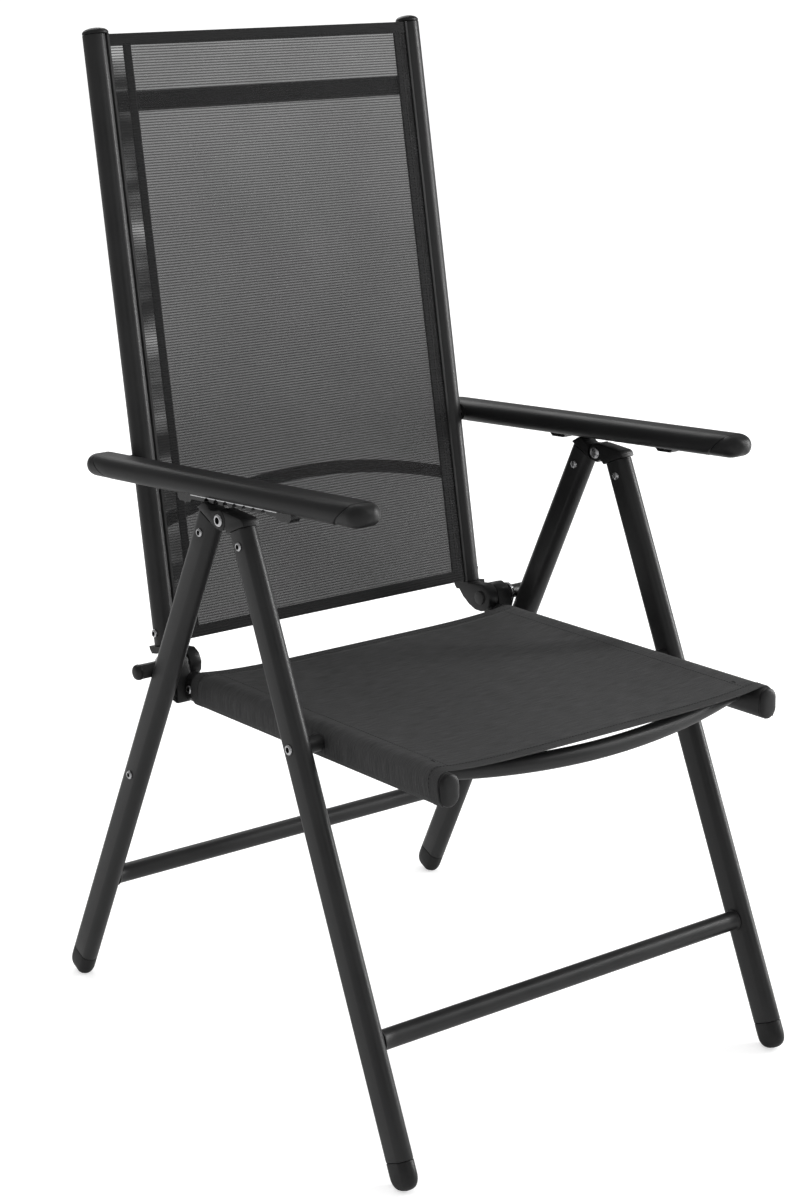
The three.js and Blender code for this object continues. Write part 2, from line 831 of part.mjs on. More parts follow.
pair(seat, "seat_side_tube", seatTube(), paint);
pair(seat, "seat_front_plug", seatFrontPlug(), plastic);
pair(seat, "seat_hinge_fitting", seatHinge(), plastic);
piece(seat, "seat_front_bow", seatFrontBow(), paint);
piece(seat, "seat_rear_bar", seatRearBar(), paint);
pair(
  seat,
  "seat_fitting_rivet",
  throughRivet(
    rivetRadius,
    rivetHeadRadius,
    rivetHeadHeight,
    seatRivetReach,
    0,
    railCentreX - seatTubeWidth / 2,
    seatTubeOuterX,
  ),
  steel,
);

// Seat sling: stretched over the tops of the side tubes and turned down their outer sides

function seatSling() {
  const radius = seatTubeWidth / 2;
  const straight = seatTubeHeight / 2 - radius;
  const inner = radius + seatGap;
  const outer = inner + seatSlingThickness;
  const turn = radians(seatFlapTurn);
  const edge = (reach) => {
    const points = [];
    const arc = (centreZ, from, to, steps) => {
      for (let step = 0; step <= steps; step += 1) {
        const angle = from + ((to - from) * step) / steps;
        points.push([railCentreX + reach * Math.cos(angle), centreZ + reach * Math.sin(angle)]);
      }
    };
    arc(-straight, -turn, 0, flapSteps);
    arc(straight, 0, upright, shoulderSteps);
    return points;
  };
  const bothSides = (reach) => {
    const right = edge(reach);
    const top = straight + reach;
    const middle = sagShares.map((share) => {
      const sag = seatSlingSag * (1 - share * share);
      return [-share * railCentreX, top - sag];
    });
    const left = right.map(([x, z]) => [-x, z]).reverse();
    return [...right, ...middle, ...left];
  };
  const loop = [...bothSides(outer), ...bothSides(inner).reverse()];
  const shape = new THREE.Shape(loop.map(([x, z]) => new THREE.Vector2(x, z)));
  return rearward(shape, -seatSlingFront, seatSlingRear);
}

piece(seat, "seat_sling", seatSling(), cloth);

// Back frame: round tubes with a sling channel on the inner side, flush with the front

function railOutline(clearance) {
  const radius = backTubeRadius + clearance;
  const inner = backTubeRadius + railBlockReach + clearance;
  const low = -backTubeRadius + railBlockDepth + clearance;
  const meet = Math.acos(low / radius) - upright;
  const shape = new THREE.Shape();
  shape.moveTo(-inner, -radius);
  shape.lineTo(0, -radius);
  shape.absarc(0, 0, radius, -upright, halfTurn + meet);
  shape.lineTo(-inner, low);
  return shape;
}

function slotLevel() {
  return -backTubeRadius + railBlockDepth / 2;
}

function backTube(topZ) {
  const section = railOutline(0);
  withHole(section, disc(backTubeRadius - backTubeWall));
  const body = upward(section, backTubeStart, topZ, roundSegments);
  body.translate(railCentreX, backOffset, 0);
  const beadX = -backTubeRadius - railBlockReach / 2 + railSlot / 2;
  const level = slotLevel();
  const channel = upward(
    disc(railBeadRadius, beadX, level),
    backTubeStart - overrun,
    topZ + overrun,
    boreSegments,
  );
  const slot = new THREE.Shape([
    new THREE.Vector2(beadX, level - railSlot / 2),
    new THREE.Vector2(beadX, level + railSlot / 2),
    new THREE.Vector2(-backTubeRadius - railBlockReach - overrun, level + railSlot / 2),
    new THREE.Vector2(-backTubeRadius - railBlockReach - overrun, level - railSlot / 2),
  ]);
  const groove = disc(railGroove, beadX + railBeadRadius + railGroove, -backTubeRadius);
  const slotTool = upward(slot, backTubeStart - overrun, topZ + overrun);
  const grooveTool = upward(groove, backTubeStart - overrun, topZ + overrun, grooveSegments);
  for (const tool of [channel, slotTool, grooveTool]) {
    tool.translate(railCentreX, backOffset, 0);
  }
  const from = railCentreX - 2 * backTubeRadius;
  const to = railCentreX + 2 * backTubeRadius;
  return cut(
    body,
    channel,
    slotTool,
    grooveTool,
    bore(rivetRadius + runningGap, from, to, backOffset, backRivetReach),
    bore(armBoltRadius + runningGap, from, to, backOffset, armPivotReach),
  );
}

const capTop = (overallHeight - inFrame(back, backOffset, 0).z) / Math.cos(radians(backLean));
const backTubeTop = capTop - backCapDome - seatGap;

function backCap() {
  const plugRadius = backTubeRadius - backTubeWall - seatGap;
  const face = backTubeTop + seatGap;
  const heightShares = [0, 0.3, 0.65, 0.9, 1];
  const radiusShares = [1, 0.98, 0.82, 0.5, 0.2];
  const profile = [new THREE.Vector2(0, face - backCapPlug)];
  profile.push(new THREE.Vector2(plugRadius, face - backCapPlug));
  profile.push(new THREE.Vector2(plugRadius, face));
  heightShares.forEach((share, i) => {
    profile.push(new THREE.Vector2(radiusShares[i] * backTubeRadius, face + share * backCapDome));
  });
  profile.push(new THREE.Vector2(0, face + backCapDome));
  const cap = new THREE.LatheGeometry(profile, roundSegments);
  return cap.rotateX(upright).translate(railCentreX, backOffset, 0);
}

function backHinge() {
  const face = backTubeStart - seatGap;
  const plugRadius = backTubeRadius - backTubeWall - seatGap;
  const plug = upward(
    disc(plugRadius, railCentreX, backOffset),
    face - overrun,
    face + backPlugLength,
    boreSegments,
  );
  const front = backOffset - backTubeRadius;
  const rear = backOffset + backTubeRadius;
  const collar = new THREE.Shape();
  collar.moveTo(front, face);
  collar.lineTo(front, face - cornerRadius);
  collar.lineTo(rear - backTubeRadius, face - 2 * cornerRadius);
  collar.lineTo(rear - cornerRadius, face - 2 * cornerRadius);
  collar.quadraticCurveTo(rear, face - cornerRadius, rear, face);
  collar.closePath();
  const lowest = backKnuckleRadius;
  const outline = new THREE.Shape();
  outline.moveTo(front, face);
  outline.lineTo(backKnuckleRadius / 2, backKnuckleRadius);
  outline.absarc(0, 0, backKnuckleRadius, radians(backKnuckleStartTurn), radians(backKnuckleEndTurn));
  outline.quadraticCurveTo(lowest, -lowest, rear - backTubeRadius, face - lowest);
  outline.lineTo(rear - headBevel, face);
  outline.closePath();
  const wide = acrossChair(collar, backKnuckleInnerX, backTubeOuterX);
  const knuckle = softenedAcross(outline, backKnuckleInnerX, backKnuckleOuterX, headBevel);
  const from = railCentreX - 2 * backTubeRadius;
  const to = railCentreX + 2 * backTubeRadius;
  return cut(
    joined(knuckle, wide, plug),
    bore(hingePinRadius + runningGap, from, to, 0, 0, roundSegments),
    bore(seatKnuckleRadius + 2 * seatGap, backKnuckleOuterX + seatGap / 2, to, 0, 0, roundSegments),
    bore(rivetRadius + runningGap, from, to, backOffset, backRivetReach),
  );
}

function backRailEnvelopes() {
  const shape = railOutline(seatGap);
  const right = upward(shape, 0, capTop, roundSegments).translate(railCentreX, backOffset, 0);
  const leftShape = new THREE.Shape(
    shape.getPoints(roundSegments / 2).map((p) => new THREE.Vector2(-p.x, p.y)),
  );
  const leftTool = upward(leftShape, 0, capTop);
  return [right, leftTool.translate(-railCentreX, backOffset, 0)];
}

const slingLevel = backOffset + slotLevel();

function upperBar() {
  const upperBarReach = capTop - upperBarDrop;
  const centreY = slingLevel + lumbarBehindSling + upperBarDepth / 2;
  const section = withHole(
    oval(upperBarDepth, upperBarHeight, centreY, upperBarReach),
    oval(
      upperBarDepth - 2 * barWall,
      upperBarHeight - 2 * barWall,
      centreY,
      upperBarReach,
    ),
  );
  const bar = acrossChair(section, -railCentreX, railCentreX);
  return largestPart(cut(bar, ...backRailEnvelopes()));
}

function lumbarBow() {
  const level = slingLevel + lumbarBehindSling + lumbarRadius;
  const ends = new THREE.Vector3(railCentreX, level, lumbarReach);
  const middle = new THREE.Vector3(0, level + lumbarSetBack, lumbarReach + lumbarRise);
  const bar = bowedBar(lumbarRadius, ends, middle);
  return largestPart(cut(bar, ...backRailEnvelopes()));
}

pair(back, "back_side_tube", backTube(backTubeTop), paint);
pair(back, "back_top_cap", backCap(), plastic);
pair(back, "back_hinge_fitting", backHinge(), plastic);
piece(back, "back_upper_bar", upperBar(), paint);
piece(back, "back_lumbar_bow", lumbarBow(), paint);
pair(
  back,
  "back_fitting_rivet",
  throughRivet(
    rivetRadius,
    rivetHeadRadius,
    rivetHeadHeight,
    backOffset,
    backRivetReach,
    railCentreX - backTubeRadius,
    backTubeOuterX,
  ),
  steel,
);

// Back sling: a taut sheet with a bead along each side, held in the tube channels

function backSling() {
  const beadX = railCentreX - backTubeRadius - railBlockReach / 2 + railSlot / 2;
  const half = slingThickness / 2;
  const meet = Math.asin(half / slingBead);
  const shape = new THREE.Shape();
  shape.absarc(beadX, slingLevel, slingBead, -halfTurn + meet, halfTurn - meet);
  shape.absarc(-beadX, slingLevel, slingBead, meet, fullTurn - meet);
  shape.closePath();
  return upward(shape, backSlingStart, backTubeTop - backSlingTopMargin);
}

piece(back, "back_sling", backSling(), cloth);

// Armrests: flat oval mouldings, channelled underneath for the rack and bored for the bush

function armrest() {
  const rings = [];
  const addEnd = (endY, inward, shares) => {
    for (const i of shares) {
      const y = endY + inward * (1 - domeLengthShares[i]) * armDomeLength;
      const size = domeSizeShares[i];
      rings.push(uprightRing(armWidth * size, armThickness * size, armCentreX, y, 0));
    }
  };
  const order = domeLengthShares.map((share, i) => i);
  addEnd(-armFrontReach, 1, order.toReversed());
  addEnd(armRearReach, -1, order);
  const channel = new THREE.Shape();
  channel.moveTo(-rackFrontReach - seatGap, -armThickness);
  channel.lineTo(-rackRearReach + seatGap, -armThickness);
  channel.lineTo(-rackRearReach + seatGap, -rackTopDepth);
  channel.lineTo(-rackFrontReach - seatGap, -rackTopDepth);
  channel.closePath();
  const innerX = armCentreX - armWidth / 2;
  const pocketEnd = bushEndX() + 2 * armBoltHeadLength;
  return cut(
    skinned(rings),
    acrossChair(channel, rackInnerX - seatGap, rackInnerX + rackWidth + seatGap),
    bore(armBoltRadius + bushWall + seatGap, innerX - overrun, pocketEnd, 0, 0, roundSegments),
  );
}

function bushStartX() {
  return backTubeOuterX + seatGap;
}

function bushEndX() {
  return bushStartX() + bushFlange + bushLength;
}

function armBush() {
  const outer = armBoltRadius + bushWall;
  const hole = boreOutline(armBoltRadius + runningGap, roundSegments);
  const sleeve = acrossChair(
    withHole(disc(outer), hole),
    bushStartX(),
    bushEndX(),
    roundSegments,
  );
  const flange = acrossChair(
    withHole(disc(outer + bushFlangeLip), hole),
    bushStartX(),
    bushStartX() + bushFlange,
    roundSegments,
  );
  return joined(sleeve, flange);
}

function armBolt() {
  const headFace = railCentreX - backTubeRadius - seatGap;
  const nutFace = bushEndX() + seatGap;
  const stations = [
    ...domedHead(headFace, armBoltHeadRadius, armBoltHeadLength, -1),
    [headFace, armBoltRadius],
    [nutFace, armBoltRadius],
    [nutFace, armNutRadius],
    [nutFace + armBoltHeadLength, armNutRadius],
  ];
  return turnedPin(stations, 0, 0);
}

function rack() {
  const tips = -armThickness / 2 - rackStandOut;
  const roof = -rackTopDepth - seatGap;
  const tabLevel = tips - rackTabDrop;
  const slope = rackTabDrop;
  const outline = new THREE.Shape();
  outline.moveTo(-rackRearReach, roof);
  outline.lineTo(-rackFrontReach, roof);
  outline.lineTo(-rackFrontReach, tabLevel + slope);
  outline.lineTo(-rackFrontReach + slope, tabLevel);
  outline.lineTo(-rackFrontReach + rackTabLength - slope, tabLevel);
  outline.lineTo(-rackFrontReach + rackTabLength, tips);
  for (let notch = notchCount - 1; notch >= 0; notch -= 1) {
    const centre = -notchReach - notch * notchPitch;
    outline.lineTo(centre - notchRadius, tips);
    outline.absarc(centre, tips, notchRadius, halfTurn, 0, true);
  }
  outline.lineTo(-rackRearReach - rackTabLength, tips);
  outline.lineTo(-rackRearReach - rackTabLength + slope, tabLevel);
  outline.lineTo(-rackRearReach - slope, tabLevel);
  outline.lineTo(-rackRearReach, tabLevel + slope);
  outline.closePath();
  return acrossChair(outline, rackInnerX, rackInnerX + rackWidth, boreSegments);
}

pair(armrests, "armrest", armrest(), plastic);
pair(armrests, "armrest_rack", rack(), steel);
pair(armrests, "armrest_bush", armBush(), plastic);
pair(armrests, "armrest_bolt", armBolt(), steel);

// The origin is on the floor under the middle of the chair's box
chair.updateMatrixWorld(true);
const box = new THREE.Box3().setFromObject(chair, true);
chair.position.y = -(box.min.y + box.max.y) / 2;

export default chair;
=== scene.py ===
import json
import math

import bmesh
import bpy
from mathutils import Matrix, Vector


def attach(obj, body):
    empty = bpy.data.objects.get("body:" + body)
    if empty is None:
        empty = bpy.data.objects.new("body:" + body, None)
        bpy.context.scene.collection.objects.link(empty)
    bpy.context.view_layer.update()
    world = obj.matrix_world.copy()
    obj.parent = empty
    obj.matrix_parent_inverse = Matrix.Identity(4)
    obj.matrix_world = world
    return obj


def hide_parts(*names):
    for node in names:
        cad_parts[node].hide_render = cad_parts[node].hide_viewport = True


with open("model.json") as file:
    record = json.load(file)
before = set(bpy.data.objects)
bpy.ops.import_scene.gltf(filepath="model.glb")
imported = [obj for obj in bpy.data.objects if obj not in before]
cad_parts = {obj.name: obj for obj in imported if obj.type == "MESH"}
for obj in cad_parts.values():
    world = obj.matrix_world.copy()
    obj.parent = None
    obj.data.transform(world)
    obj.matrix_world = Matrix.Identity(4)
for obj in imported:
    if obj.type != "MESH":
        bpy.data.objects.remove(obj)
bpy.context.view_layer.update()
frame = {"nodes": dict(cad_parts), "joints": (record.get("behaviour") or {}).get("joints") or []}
mm = 0.001
sides = {"right": 1, "left": -1}
print("frame loaded")

# Camera, solved from the straight edges of the photograph
camera = {
    "place": (-1.65685, -2.0513, 1.2959),
    "azimuth": -38.2556,
    "elevation": 14.3015,
    "roll": 1.2158,
    "lens": 76.757,
    "sensor": 36,
    "clip": (0.05, 60),
    "shift": (0.00903, -0.11279),
}


def placed(name, data):
    obj = bpy.data.objects.new(name, data)
    bpy.context.scene.collection.objects.link(obj)
    return obj


def addCamera():
    data = bpy.data.cameras.new("camera")
    data.lens = camera["lens"]
    data.sensor_width = camera["sensor"]
    data.shift_x, data.shift_y = camera["shift"]
    data.clip_start, data.clip_end = camera["clip"]
    obj = placed("camera", data)
    turn = math.radians(camera["azimuth"])
    rise = math.radians(camera["elevation"])
    roll = math.radians(camera["roll"])
    back = Vector((math.sin(turn) * math.cos(rise), -math.cos(turn) * math.cos(rise), math.sin(rise)))
    level = (-back).cross(Vector((0, 0, 1))).normalized()
    upward = level.cross(-back)
    right = math.cos(roll) * level + math.sin(roll) * upward
    up = -math.sin(roll) * level + math.cos(roll) * upward
    turned = Matrix((right, up, back)).transposed().to_4x4()
    obj.matrix_world = Matrix.Translation(camera["place"]) @ turned
    bpy.context.scene.camera = obj


addCamera()
print("camera done")

# Local frames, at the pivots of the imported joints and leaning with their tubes
leans = {"rear": 23.9, "front": -25.5, "seat": -2.72, "back": -12.2, "arm": -6.0}
pivots = {joint["name"]: Vector(joint["pos_m"]) for joint in frame["joints"] if "pos_m" in joint}
seatPlace = {"ahead": -24.1 * mm, "below": -239.4 * mm, "drop": 2.5 * mm}


def leaningFrame(place, lean):
    return Matrix.Translation(place) @ Matrix.Rotation(math.radians(lean), 4, "X")


rearFrame = leaningFrame(pivots["leg_fold"], leans["rear"])
frontFrame = leaningFrame(pivots["leg_fold"], leans["front"])
seatPivot = frontFrame @ Vector((0, seatPlace["ahead"], seatPlace["below"]))
seatFrame = leaningFrame(seatPivot - Vector((0, 0, seatPlace["drop"])), leans["seat"])
pinFrame = leaningFrame(pivots["recline"], 0)
backFrame = leaningFrame(pivots["recline"], leans["back"])
armFrame = leaningFrame(pivots["arm_fold"], leans["arm"])

# Node helpers for the materials


def newMaterial(name):
    material = bpy.data.materials.new(name)
    material.use_nodes = True
    nodes = material.node_tree.nodes
    nodes.clear()
    output = nodes.new("ShaderNodeOutputMaterial")
    shader = nodes.new("ShaderNodeBsdfPrincipled")
    material.node_tree.links.new(shader.outputs[0], output.inputs["Surface"])
    return material, shader, output


class Graph:
    def __init__(self, tree):
        self.tree = tree

    def feed(self, node, values):
        # values by the name or number of the input: a number, a tuple or another node's output
        for key, value in values.items():
            if isinstance(value, (int, float, tuple)):
                node.inputs[key].default_value = value
            else:
                self.tree.links.new(value, node.inputs[key])

    def node(self, kind, inputs=None, **settings):
        made = self.tree.nodes.new(kind)
        for key, value in settings.items():
            setattr(made, key, value)
        self.feed(made, inputs or {})
        return made

    def math(self, operation, *values):
        return self.node("ShaderNodeMath", dict(enumerate(values)), operation=operation).outputs[0]

    def times(self, first, second):
        return self.math("MULTIPLY", first, second)

    def noise(self, vector, scale, detail=3.0, roughness=0.5):
        inputs = {"Scale": scale, "Detail": detail, "Roughness": roughness, "Vector": vector}
        return self.node("ShaderNodeTexNoise", inputs).outputs["Fac"]

    def spread(self, value, low, high, start=0.0, end=1.0):
        inputs = {"Value": value, "From Min": start, "From Max": end, "To Min": low, "To Max": high}
        return self.node("ShaderNodeMapRange", inputs).outputs["Result"]

    def mix(self, share, first, second):
        return self.node("ShaderNodeMix", {0: share, 6: first, 7: second}, data_type="RGBA").outputs[2]

    def bump(self, height, strength, distance):
        inputs = {"Strength": strength, "Distance": distance, "Height": height}
        return self.node("ShaderNodeBump", inputs).outputs["Normal"]


def grey(level, blue):
    return level, level, blue, 1


# Powder coat, plastic and zinc: cloudy tone, fine grain, a little dust and rubbed spots.
# A coating's own values go before these, and a span is the stretch of a noise that the change takes.
coatBase = {
    "metallic": 0.0, "dust": grey(0.04, 0.04), "dustShare": 0.1, "grainDepth": 0.2 * mm,
    "grainDetail": 2.0, "cloudDetail": 4.0, "dustDetail": 6.0, "dustRoughness": 0.7,
    "toneSpan": (0.35, 0.65), "dustSpan": (0.55, 0.75), "shineSpan": (0.3, 0.7),
}


def coatedMaterial(name, coating):
    settings = {**coatBase, **coating}
    material, shader, _ = newMaterial(name)
    graph = Graph(material.node_tree)
    place = graph.node("ShaderNodeTexCoord").outputs["Object"]
    fine = graph.noise(place, settings["grainScale"], settings["grainDetail"])
    cloud = graph.noise(place, settings["cloudScale"], settings["cloudDetail"])
    dust = graph.noise(place, settings["dustScale"], settings["dustDetail"], settings["dustRoughness"])
    cloudy = graph.spread(cloud, 0.0, 1.0, *settings["toneSpan"])
    tone = graph.mix(cloudy, settings["dark"], settings["light"])
    speck = graph.spread(dust, 0.0, settings["dustShare"], *settings["dustSpan"])
    looks = {
        "Base Color": graph.mix(speck, tone, settings["dust"]),
        "Roughness": graph.spread(cloud, *settings["roughness"], *settings["shineSpan"]),
        "Metallic": settings["metallic"],
        "Specular IOR Level": settings["specular"],
        "Normal": graph.bump(fine, settings["grain"], settings["grainDepth"]),
    }
    graph.feed(shader, looks)
    return material


coatings = {
    "powder_coat": {
        "dark": grey(0.013, 0.0133), "light": grey(0.018, 0.0183), "dustShare": 0.12,
        "roughness": (0.34, 0.46), "specular": 0.34,
        "grainScale": 1400, "cloudScale": 14, "dustScale": 160, "grain": 0.25, "grainDepth": 0.25 * mm,
    },
    "black_plastic": {
        "dark": grey(0.007, 0.0072), "light": grey(0.011, 0.0113), "dust": grey(0.035, 0.035),
        "roughness": (0.36, 0.5), "specular": 0.32,
        "grainScale": 2200, "cloudScale": 30, "dustScale": 220, "grain": 0.2,
    },
    "arm_plastic": {
        "dark": grey(0.01, 0.0103), "light": grey(0.013, 0.0133), "dustShare": 0.08,
        "roughness": (0.4, 0.5), "specular": 0.26,
        "grainScale": 1800, "cloudScale": 9, "dustScale": 140, "grain": 0.22,
    },
    "bright_steel": {
        "dark": grey(0.5, 0.51), "light": grey(0.72, 0.73), "dust": grey(0.14, 0.14),
        "dustShare": 0.35, "roughness": (0.2, 0.34), "specular": 0.5, "metallic": 1.0,
        "grainScale": 900, "cloudScale": 160, "dustScale": 320, "grain": 0.12, "grainDepth": 0.15 * mm,
    },
    "sewing_thread": {
        "dark": grey(0.008, 0.0082), "light": grey(0.02, 0.0203), "roughness": (0.55, 0.7), "specular": 0.2,
        "grainScale": 4000, "cloudScale": 300, "dustScale": 220, "grain": 0.4, "grainDepth": 0.1 * mm,
    },
}
materials = {name: coatedMaterial(name, settings) for name, settings in coatings.items()}

# The rack is painted dark as painted shade, except for the bare steel edge that shows beside the armrest
rackPaintedShade = {"level": -10.9 * mm, "reach": (-313 * mm, -161 * mm), "tone": grey(0.012, 0.0123)}


def rackMaterial():
    material = coatedMaterial("rack_steel", coatings["bright_steel"])
    tree = material.node_tree
    graph = Graph(tree)
    shader = next(node for node in tree.nodes if node.type == "BSDF_PRINCIPLED")
    tone = shader.inputs["Base Color"].links[0].from_socket
    place = graph.node("ShaderNodeTexCoord").outputs["Object"]

    def beyond(axis, limit):
        # one where the place lies further along the arm frame's axis than the limit
        along = armFrame.to_3x3() @ axis
        run = graph.node("ShaderNodeVectorMath", {0: place, 1: tuple(along)}, operation="DOT_PRODUCT")
        return graph.math("GREATER_THAN", run.outputs["Value"], along.dot(armFrame.translation) + limit)

    front, rear = (beyond(Vector((0, 1, 0)), limit) for limit in rackPaintedShade["reach"])
    upper = beyond(Vector((0, 0, 1)), rackPaintedShade["level"])
    # bare steel above the level and between the two places along the arm; the dark tone elsewhere is painted
    # shade
    bare = graph.times(upper, graph.math("SUBTRACT", front, rear))
    graph.feed(shader, {"Base Color": graph.mix(bare, rackPaintedShade["tone"], tone), "Metallic": bare})
    return material


materials["rack_steel"] = rackMaterial()

# Woven mesh: threads in two directions with small holes between them, on the cloth's own UV in metres
weaves = {
    "back_mesh": {
        "dark": grey(0.008, 0.0082), "light": grey(0.014, 0.0143), "line": grey(0.03, 0.0305),
        "doubleTone": grey(0.012, 0.0123), "hemTone": grey(0.011, 0.0113),
        "along": 2.9 * mm, "acrossGap": (0.8, 0.5), "alongGap": (0.6, 0.5),
        "openness": (0.3, 0.545), "ripple": (0.96, 1.03),
        "slubScale": (30, 900, 1), "cloudScale": 7, "roughness": 0.65, "specular": 0.16,
        "patchScale": (4, 21, 1), "patchOpen": (0.12, 1.35),
    },
    "seat_mesh": {
        "dark": grey(0.034, 0.0346), "light": grey(0.062, 0.0625), "line": grey(0.07, 0.0705),
        "doubleTone": grey(0.043, 0.0434), "hemTone": grey(0.04, 0.0404),
        "along": 2.2 * mm, "acrossGap": (0.14, 0.0), "alongGap": (0.14, 0.0),
        "openness": (1.0, 1.0), "ripple": (0.8, 1.0),
        "slubScale": (40, 800, 1), "cloudScale": 9, "roughness": 0.72, "specular": 0.25,
        "patchScale": (6, 26, 1), "patchOpen": (1.0, 1.0),
    },
}
# Common to both: spans of the noises and of the sheet's length, and how far layers and threads show
weaveBase = {
    "across": 1.3 * mm, "bump": 0.5, "bumpDepth": 0.25 * mm, "slubDetail": 3.0, "patchDetail": 2.0,
    "slubSpan": (0.38, 0.62), "cloudSpan": (0.35, 0.65), "patchSpan": (0.36, 0.66),
    "lengthSpan": (0.2, 0.66), "gapSpan": (0.35, 0.65),
    "doubledShare": 0.6, "tripledShare": 0.8, "uprightShare": 0.7, "lineShare": 0.3,
}


def wovenMaterial(name, cloth):
    settings = {**weaveBase, **cloth}
    material, shader, output = newMaterial(name)
    graph = Graph(material.node_tree)
    uv = graph.node("ShaderNodeTexCoord").outputs["UV"]
    across, along, _ = graph.node("ShaderNodeSeparateXYZ", {0: uv}).outputs

    def wave(value, repeat):
        return graph.math("COSINE", graph.times(value, 2 * math.pi / repeat))

    def opening(value, pitch, gapShare):
        # one inside the gap between two threads, less on the thin threads themselves
        place = graph.math("FRACT", graph.math("DIVIDE", value, pitch))
        away = graph.math("ABSOLUTE", graph.math("SUBTRACT", place, 0.5))
        start, end = (gapShare[0] * share for share in settings["gapSpan"])
        return graph.spread(away, 1.0, gapShare[1], start, end)

    def stretchedNoise(scale, detail):
        stretched = graph.node("ShaderNodeMapping", {"Scale": scale, "Vector": uv})
        return graph.noise(stretched.outputs[0], 1.0, detail)

    slub = stretchedNoise(settings["slubScale"], settings["slubDetail"])
    cloud = graph.noise(uv, settings["cloudScale"])
    slubs = graph.spread(slub, 0.0, 1.0, *settings["slubSpan"])
    tone = graph.mix(slubs, settings["dark"], settings["light"])
    lines = graph.spread(wave(along, settings["along"]), 0.0, settings["lineShare"], -1.0, 1.0)
    tone = graph.mix(lines, tone, settings["line"])
    layers = graph.node("ShaderNodeAttribute", attribute_name="layers").outputs["Fac"]
    doubled = graph.spread(layers, 0.0, 1.0, 1.0, 2.0)
    tripled = graph.spread(layers, 0.0, 1.0, 2.0, 3.0)
    tone = graph.mix(graph.times(doubled, settings["doubledShare"]), tone, settings["doubleTone"])
    tone = graph.mix(graph.times(tripled, settings["tripledShare"]), tone, settings["hemTone"])
    uprights = graph.times(wave(across, settings["across"]), settings["uprightShare"])
    weave = graph.math("ADD", wave(along, settings["along"]), uprights)
    looks = {
        "Base Color": tone,
        "Roughness": settings["roughness"],
        "Specular IOR Level": settings["specular"],
        "Normal": graph.bump(weave, settings["bump"], settings["bumpDepth"]),
    }
    graph.feed(shader, looks)
    upright = opening(across, settings["across"], settings["acrossGap"])
    level = opening(along, settings["along"], settings["alongGap"])
    hole = graph.times(upright, level)
    hole = graph.times(hole, graph.spread(cloud, *settings["ripple"], *settings["cloudSpan"]))
    hole = graph.times(hole, graph.spread(along, *settings["openness"], *settings["lengthSpan"]))
    # where two layers lie together their threads drift past each other, which leaves light and dark patches
    patches = stretchedNoise(settings["patchScale"], settings["patchDetail"])
    patchy = graph.spread(patches, *settings["patchOpen"], *settings["patchSpan"])
    drift = graph.math("SUBTRACT", graph.times(hole, patchy), hole)
    clearShare = graph.math("ADD", hole, graph.times(doubled, drift))
    clearShare = graph.times(clearShare, graph.math("SUBTRACT", 1.0, tripled))
    clear = graph.node("ShaderNodeBsdfTransparent").outputs[0]
    blend = graph.node("ShaderNodeMixShader", {0: clearShare, 1: shader.outputs[0], 2: clear})
    graph.feed(output, {"Surface": blend.outputs[0]})
    return material


for weaveName, weaveSettings in weaves.items():
    materials[weaveName] = wovenMaterial(weaveName, weaveSettings)
print("materials done")

# Shaping helpers: an oval ring, a ring pulled along Z, a profile spun about X
tiny = 1e-6
spinSeam = 1e-7
roundedEdge = ((0, 1), (0.1, 0.55), (0.35, 0.2), (1, 0))


def domed(share, power):
    return max(1 - share**power, 0.0) ** (1 / power)


def domeSizes(steps, power):
    # (share of the dome's depth, size) from its rim almost to its tip
    shares = [math.sin(math.pi / 2 * step / (steps - 0.5)) for step in range(steps)]
    return [(share, domed(share, power)) for share in shares]


def vertsOf(made):
    return [item for item in made if isinstance(item, bmesh.types.BMVert)]


def ovalRing(build, width, height, segments):
    radius = min(width, height) / 2
    verts = bmesh.ops.create_circle(build, cap_ends=False, radius=radius, segments=segments)["verts"]
    halfStep = Matrix.Rotation(math.pi / segments, 3, "Z")
    bmesh.ops.rotate(build, verts=verts, cent=(0, 0, 0), matrix=halfStep)
    run = Vector(((width / 2 - radius), (height / 2 - radius), 0))
    axis = 0 if run.x > run.y else 1
    for sign in (1, -1):
        half = [vert for vert in verts if vert.co[axis] * sign > 0]
        bmesh.ops.translate(build, verts=half, vec=sign * run)
    return verts


def pull(build, verts, stations):
    # stations are (distance along Z, size along X, size along Y); both ends are filled
    edges = list({edge for vert in verts for edge in vert.link_edges})
    before = (0, 1, 1)
    for count, station in enumerate(stations):
        if count:
            made = bmesh.ops.extrude_edge_only(build, edges=edges)["geom"]
            verts = vertsOf(made)
            edges = [item for item in made if isinstance(item, bmesh.types.BMEdge) and item.is_boundary]
        bmesh.ops.translate(build, verts=verts, vec=(0, 0, station[0] - before[0]))
        size = (station[1] / before[1], station[2] / before[2], 1)
        bmesh.ops.scale(build, verts=verts, vec=size)
        before = station
    bmesh.ops.holes_fill(build, edges=build.edges, sides=0)


def rounded(tube, start, end, width, height):
    # stations of a straight tube with softly rounded ends
    edge, steps = tube["edge"], tube["steps"]
    found = []
    for share, inset in roundedEdge:
        found.append((share * edge, 1 - 2 * inset * edge / width, 1 - 2 * inset * edge / height))
    length = abs(end - start)
    middle = [(length * step / steps, 1, 1) for step in range(1, steps)]
    last = [(length - station[0], *station[1:]) for station in reversed(found)]
    sign = 1 if end > start else -1
    return [(start + sign * station[0], *station[1:]) for station in found + middle + last]


def spin(build, geom, axis, angle, steps, merge):
    # round an axis through the origin; returns what the last step made
    made = bmesh.ops.spin(build, geom=geom, axis=axis, angle=angle, steps=steps, use_merge=merge)
    return made["geom_last"]


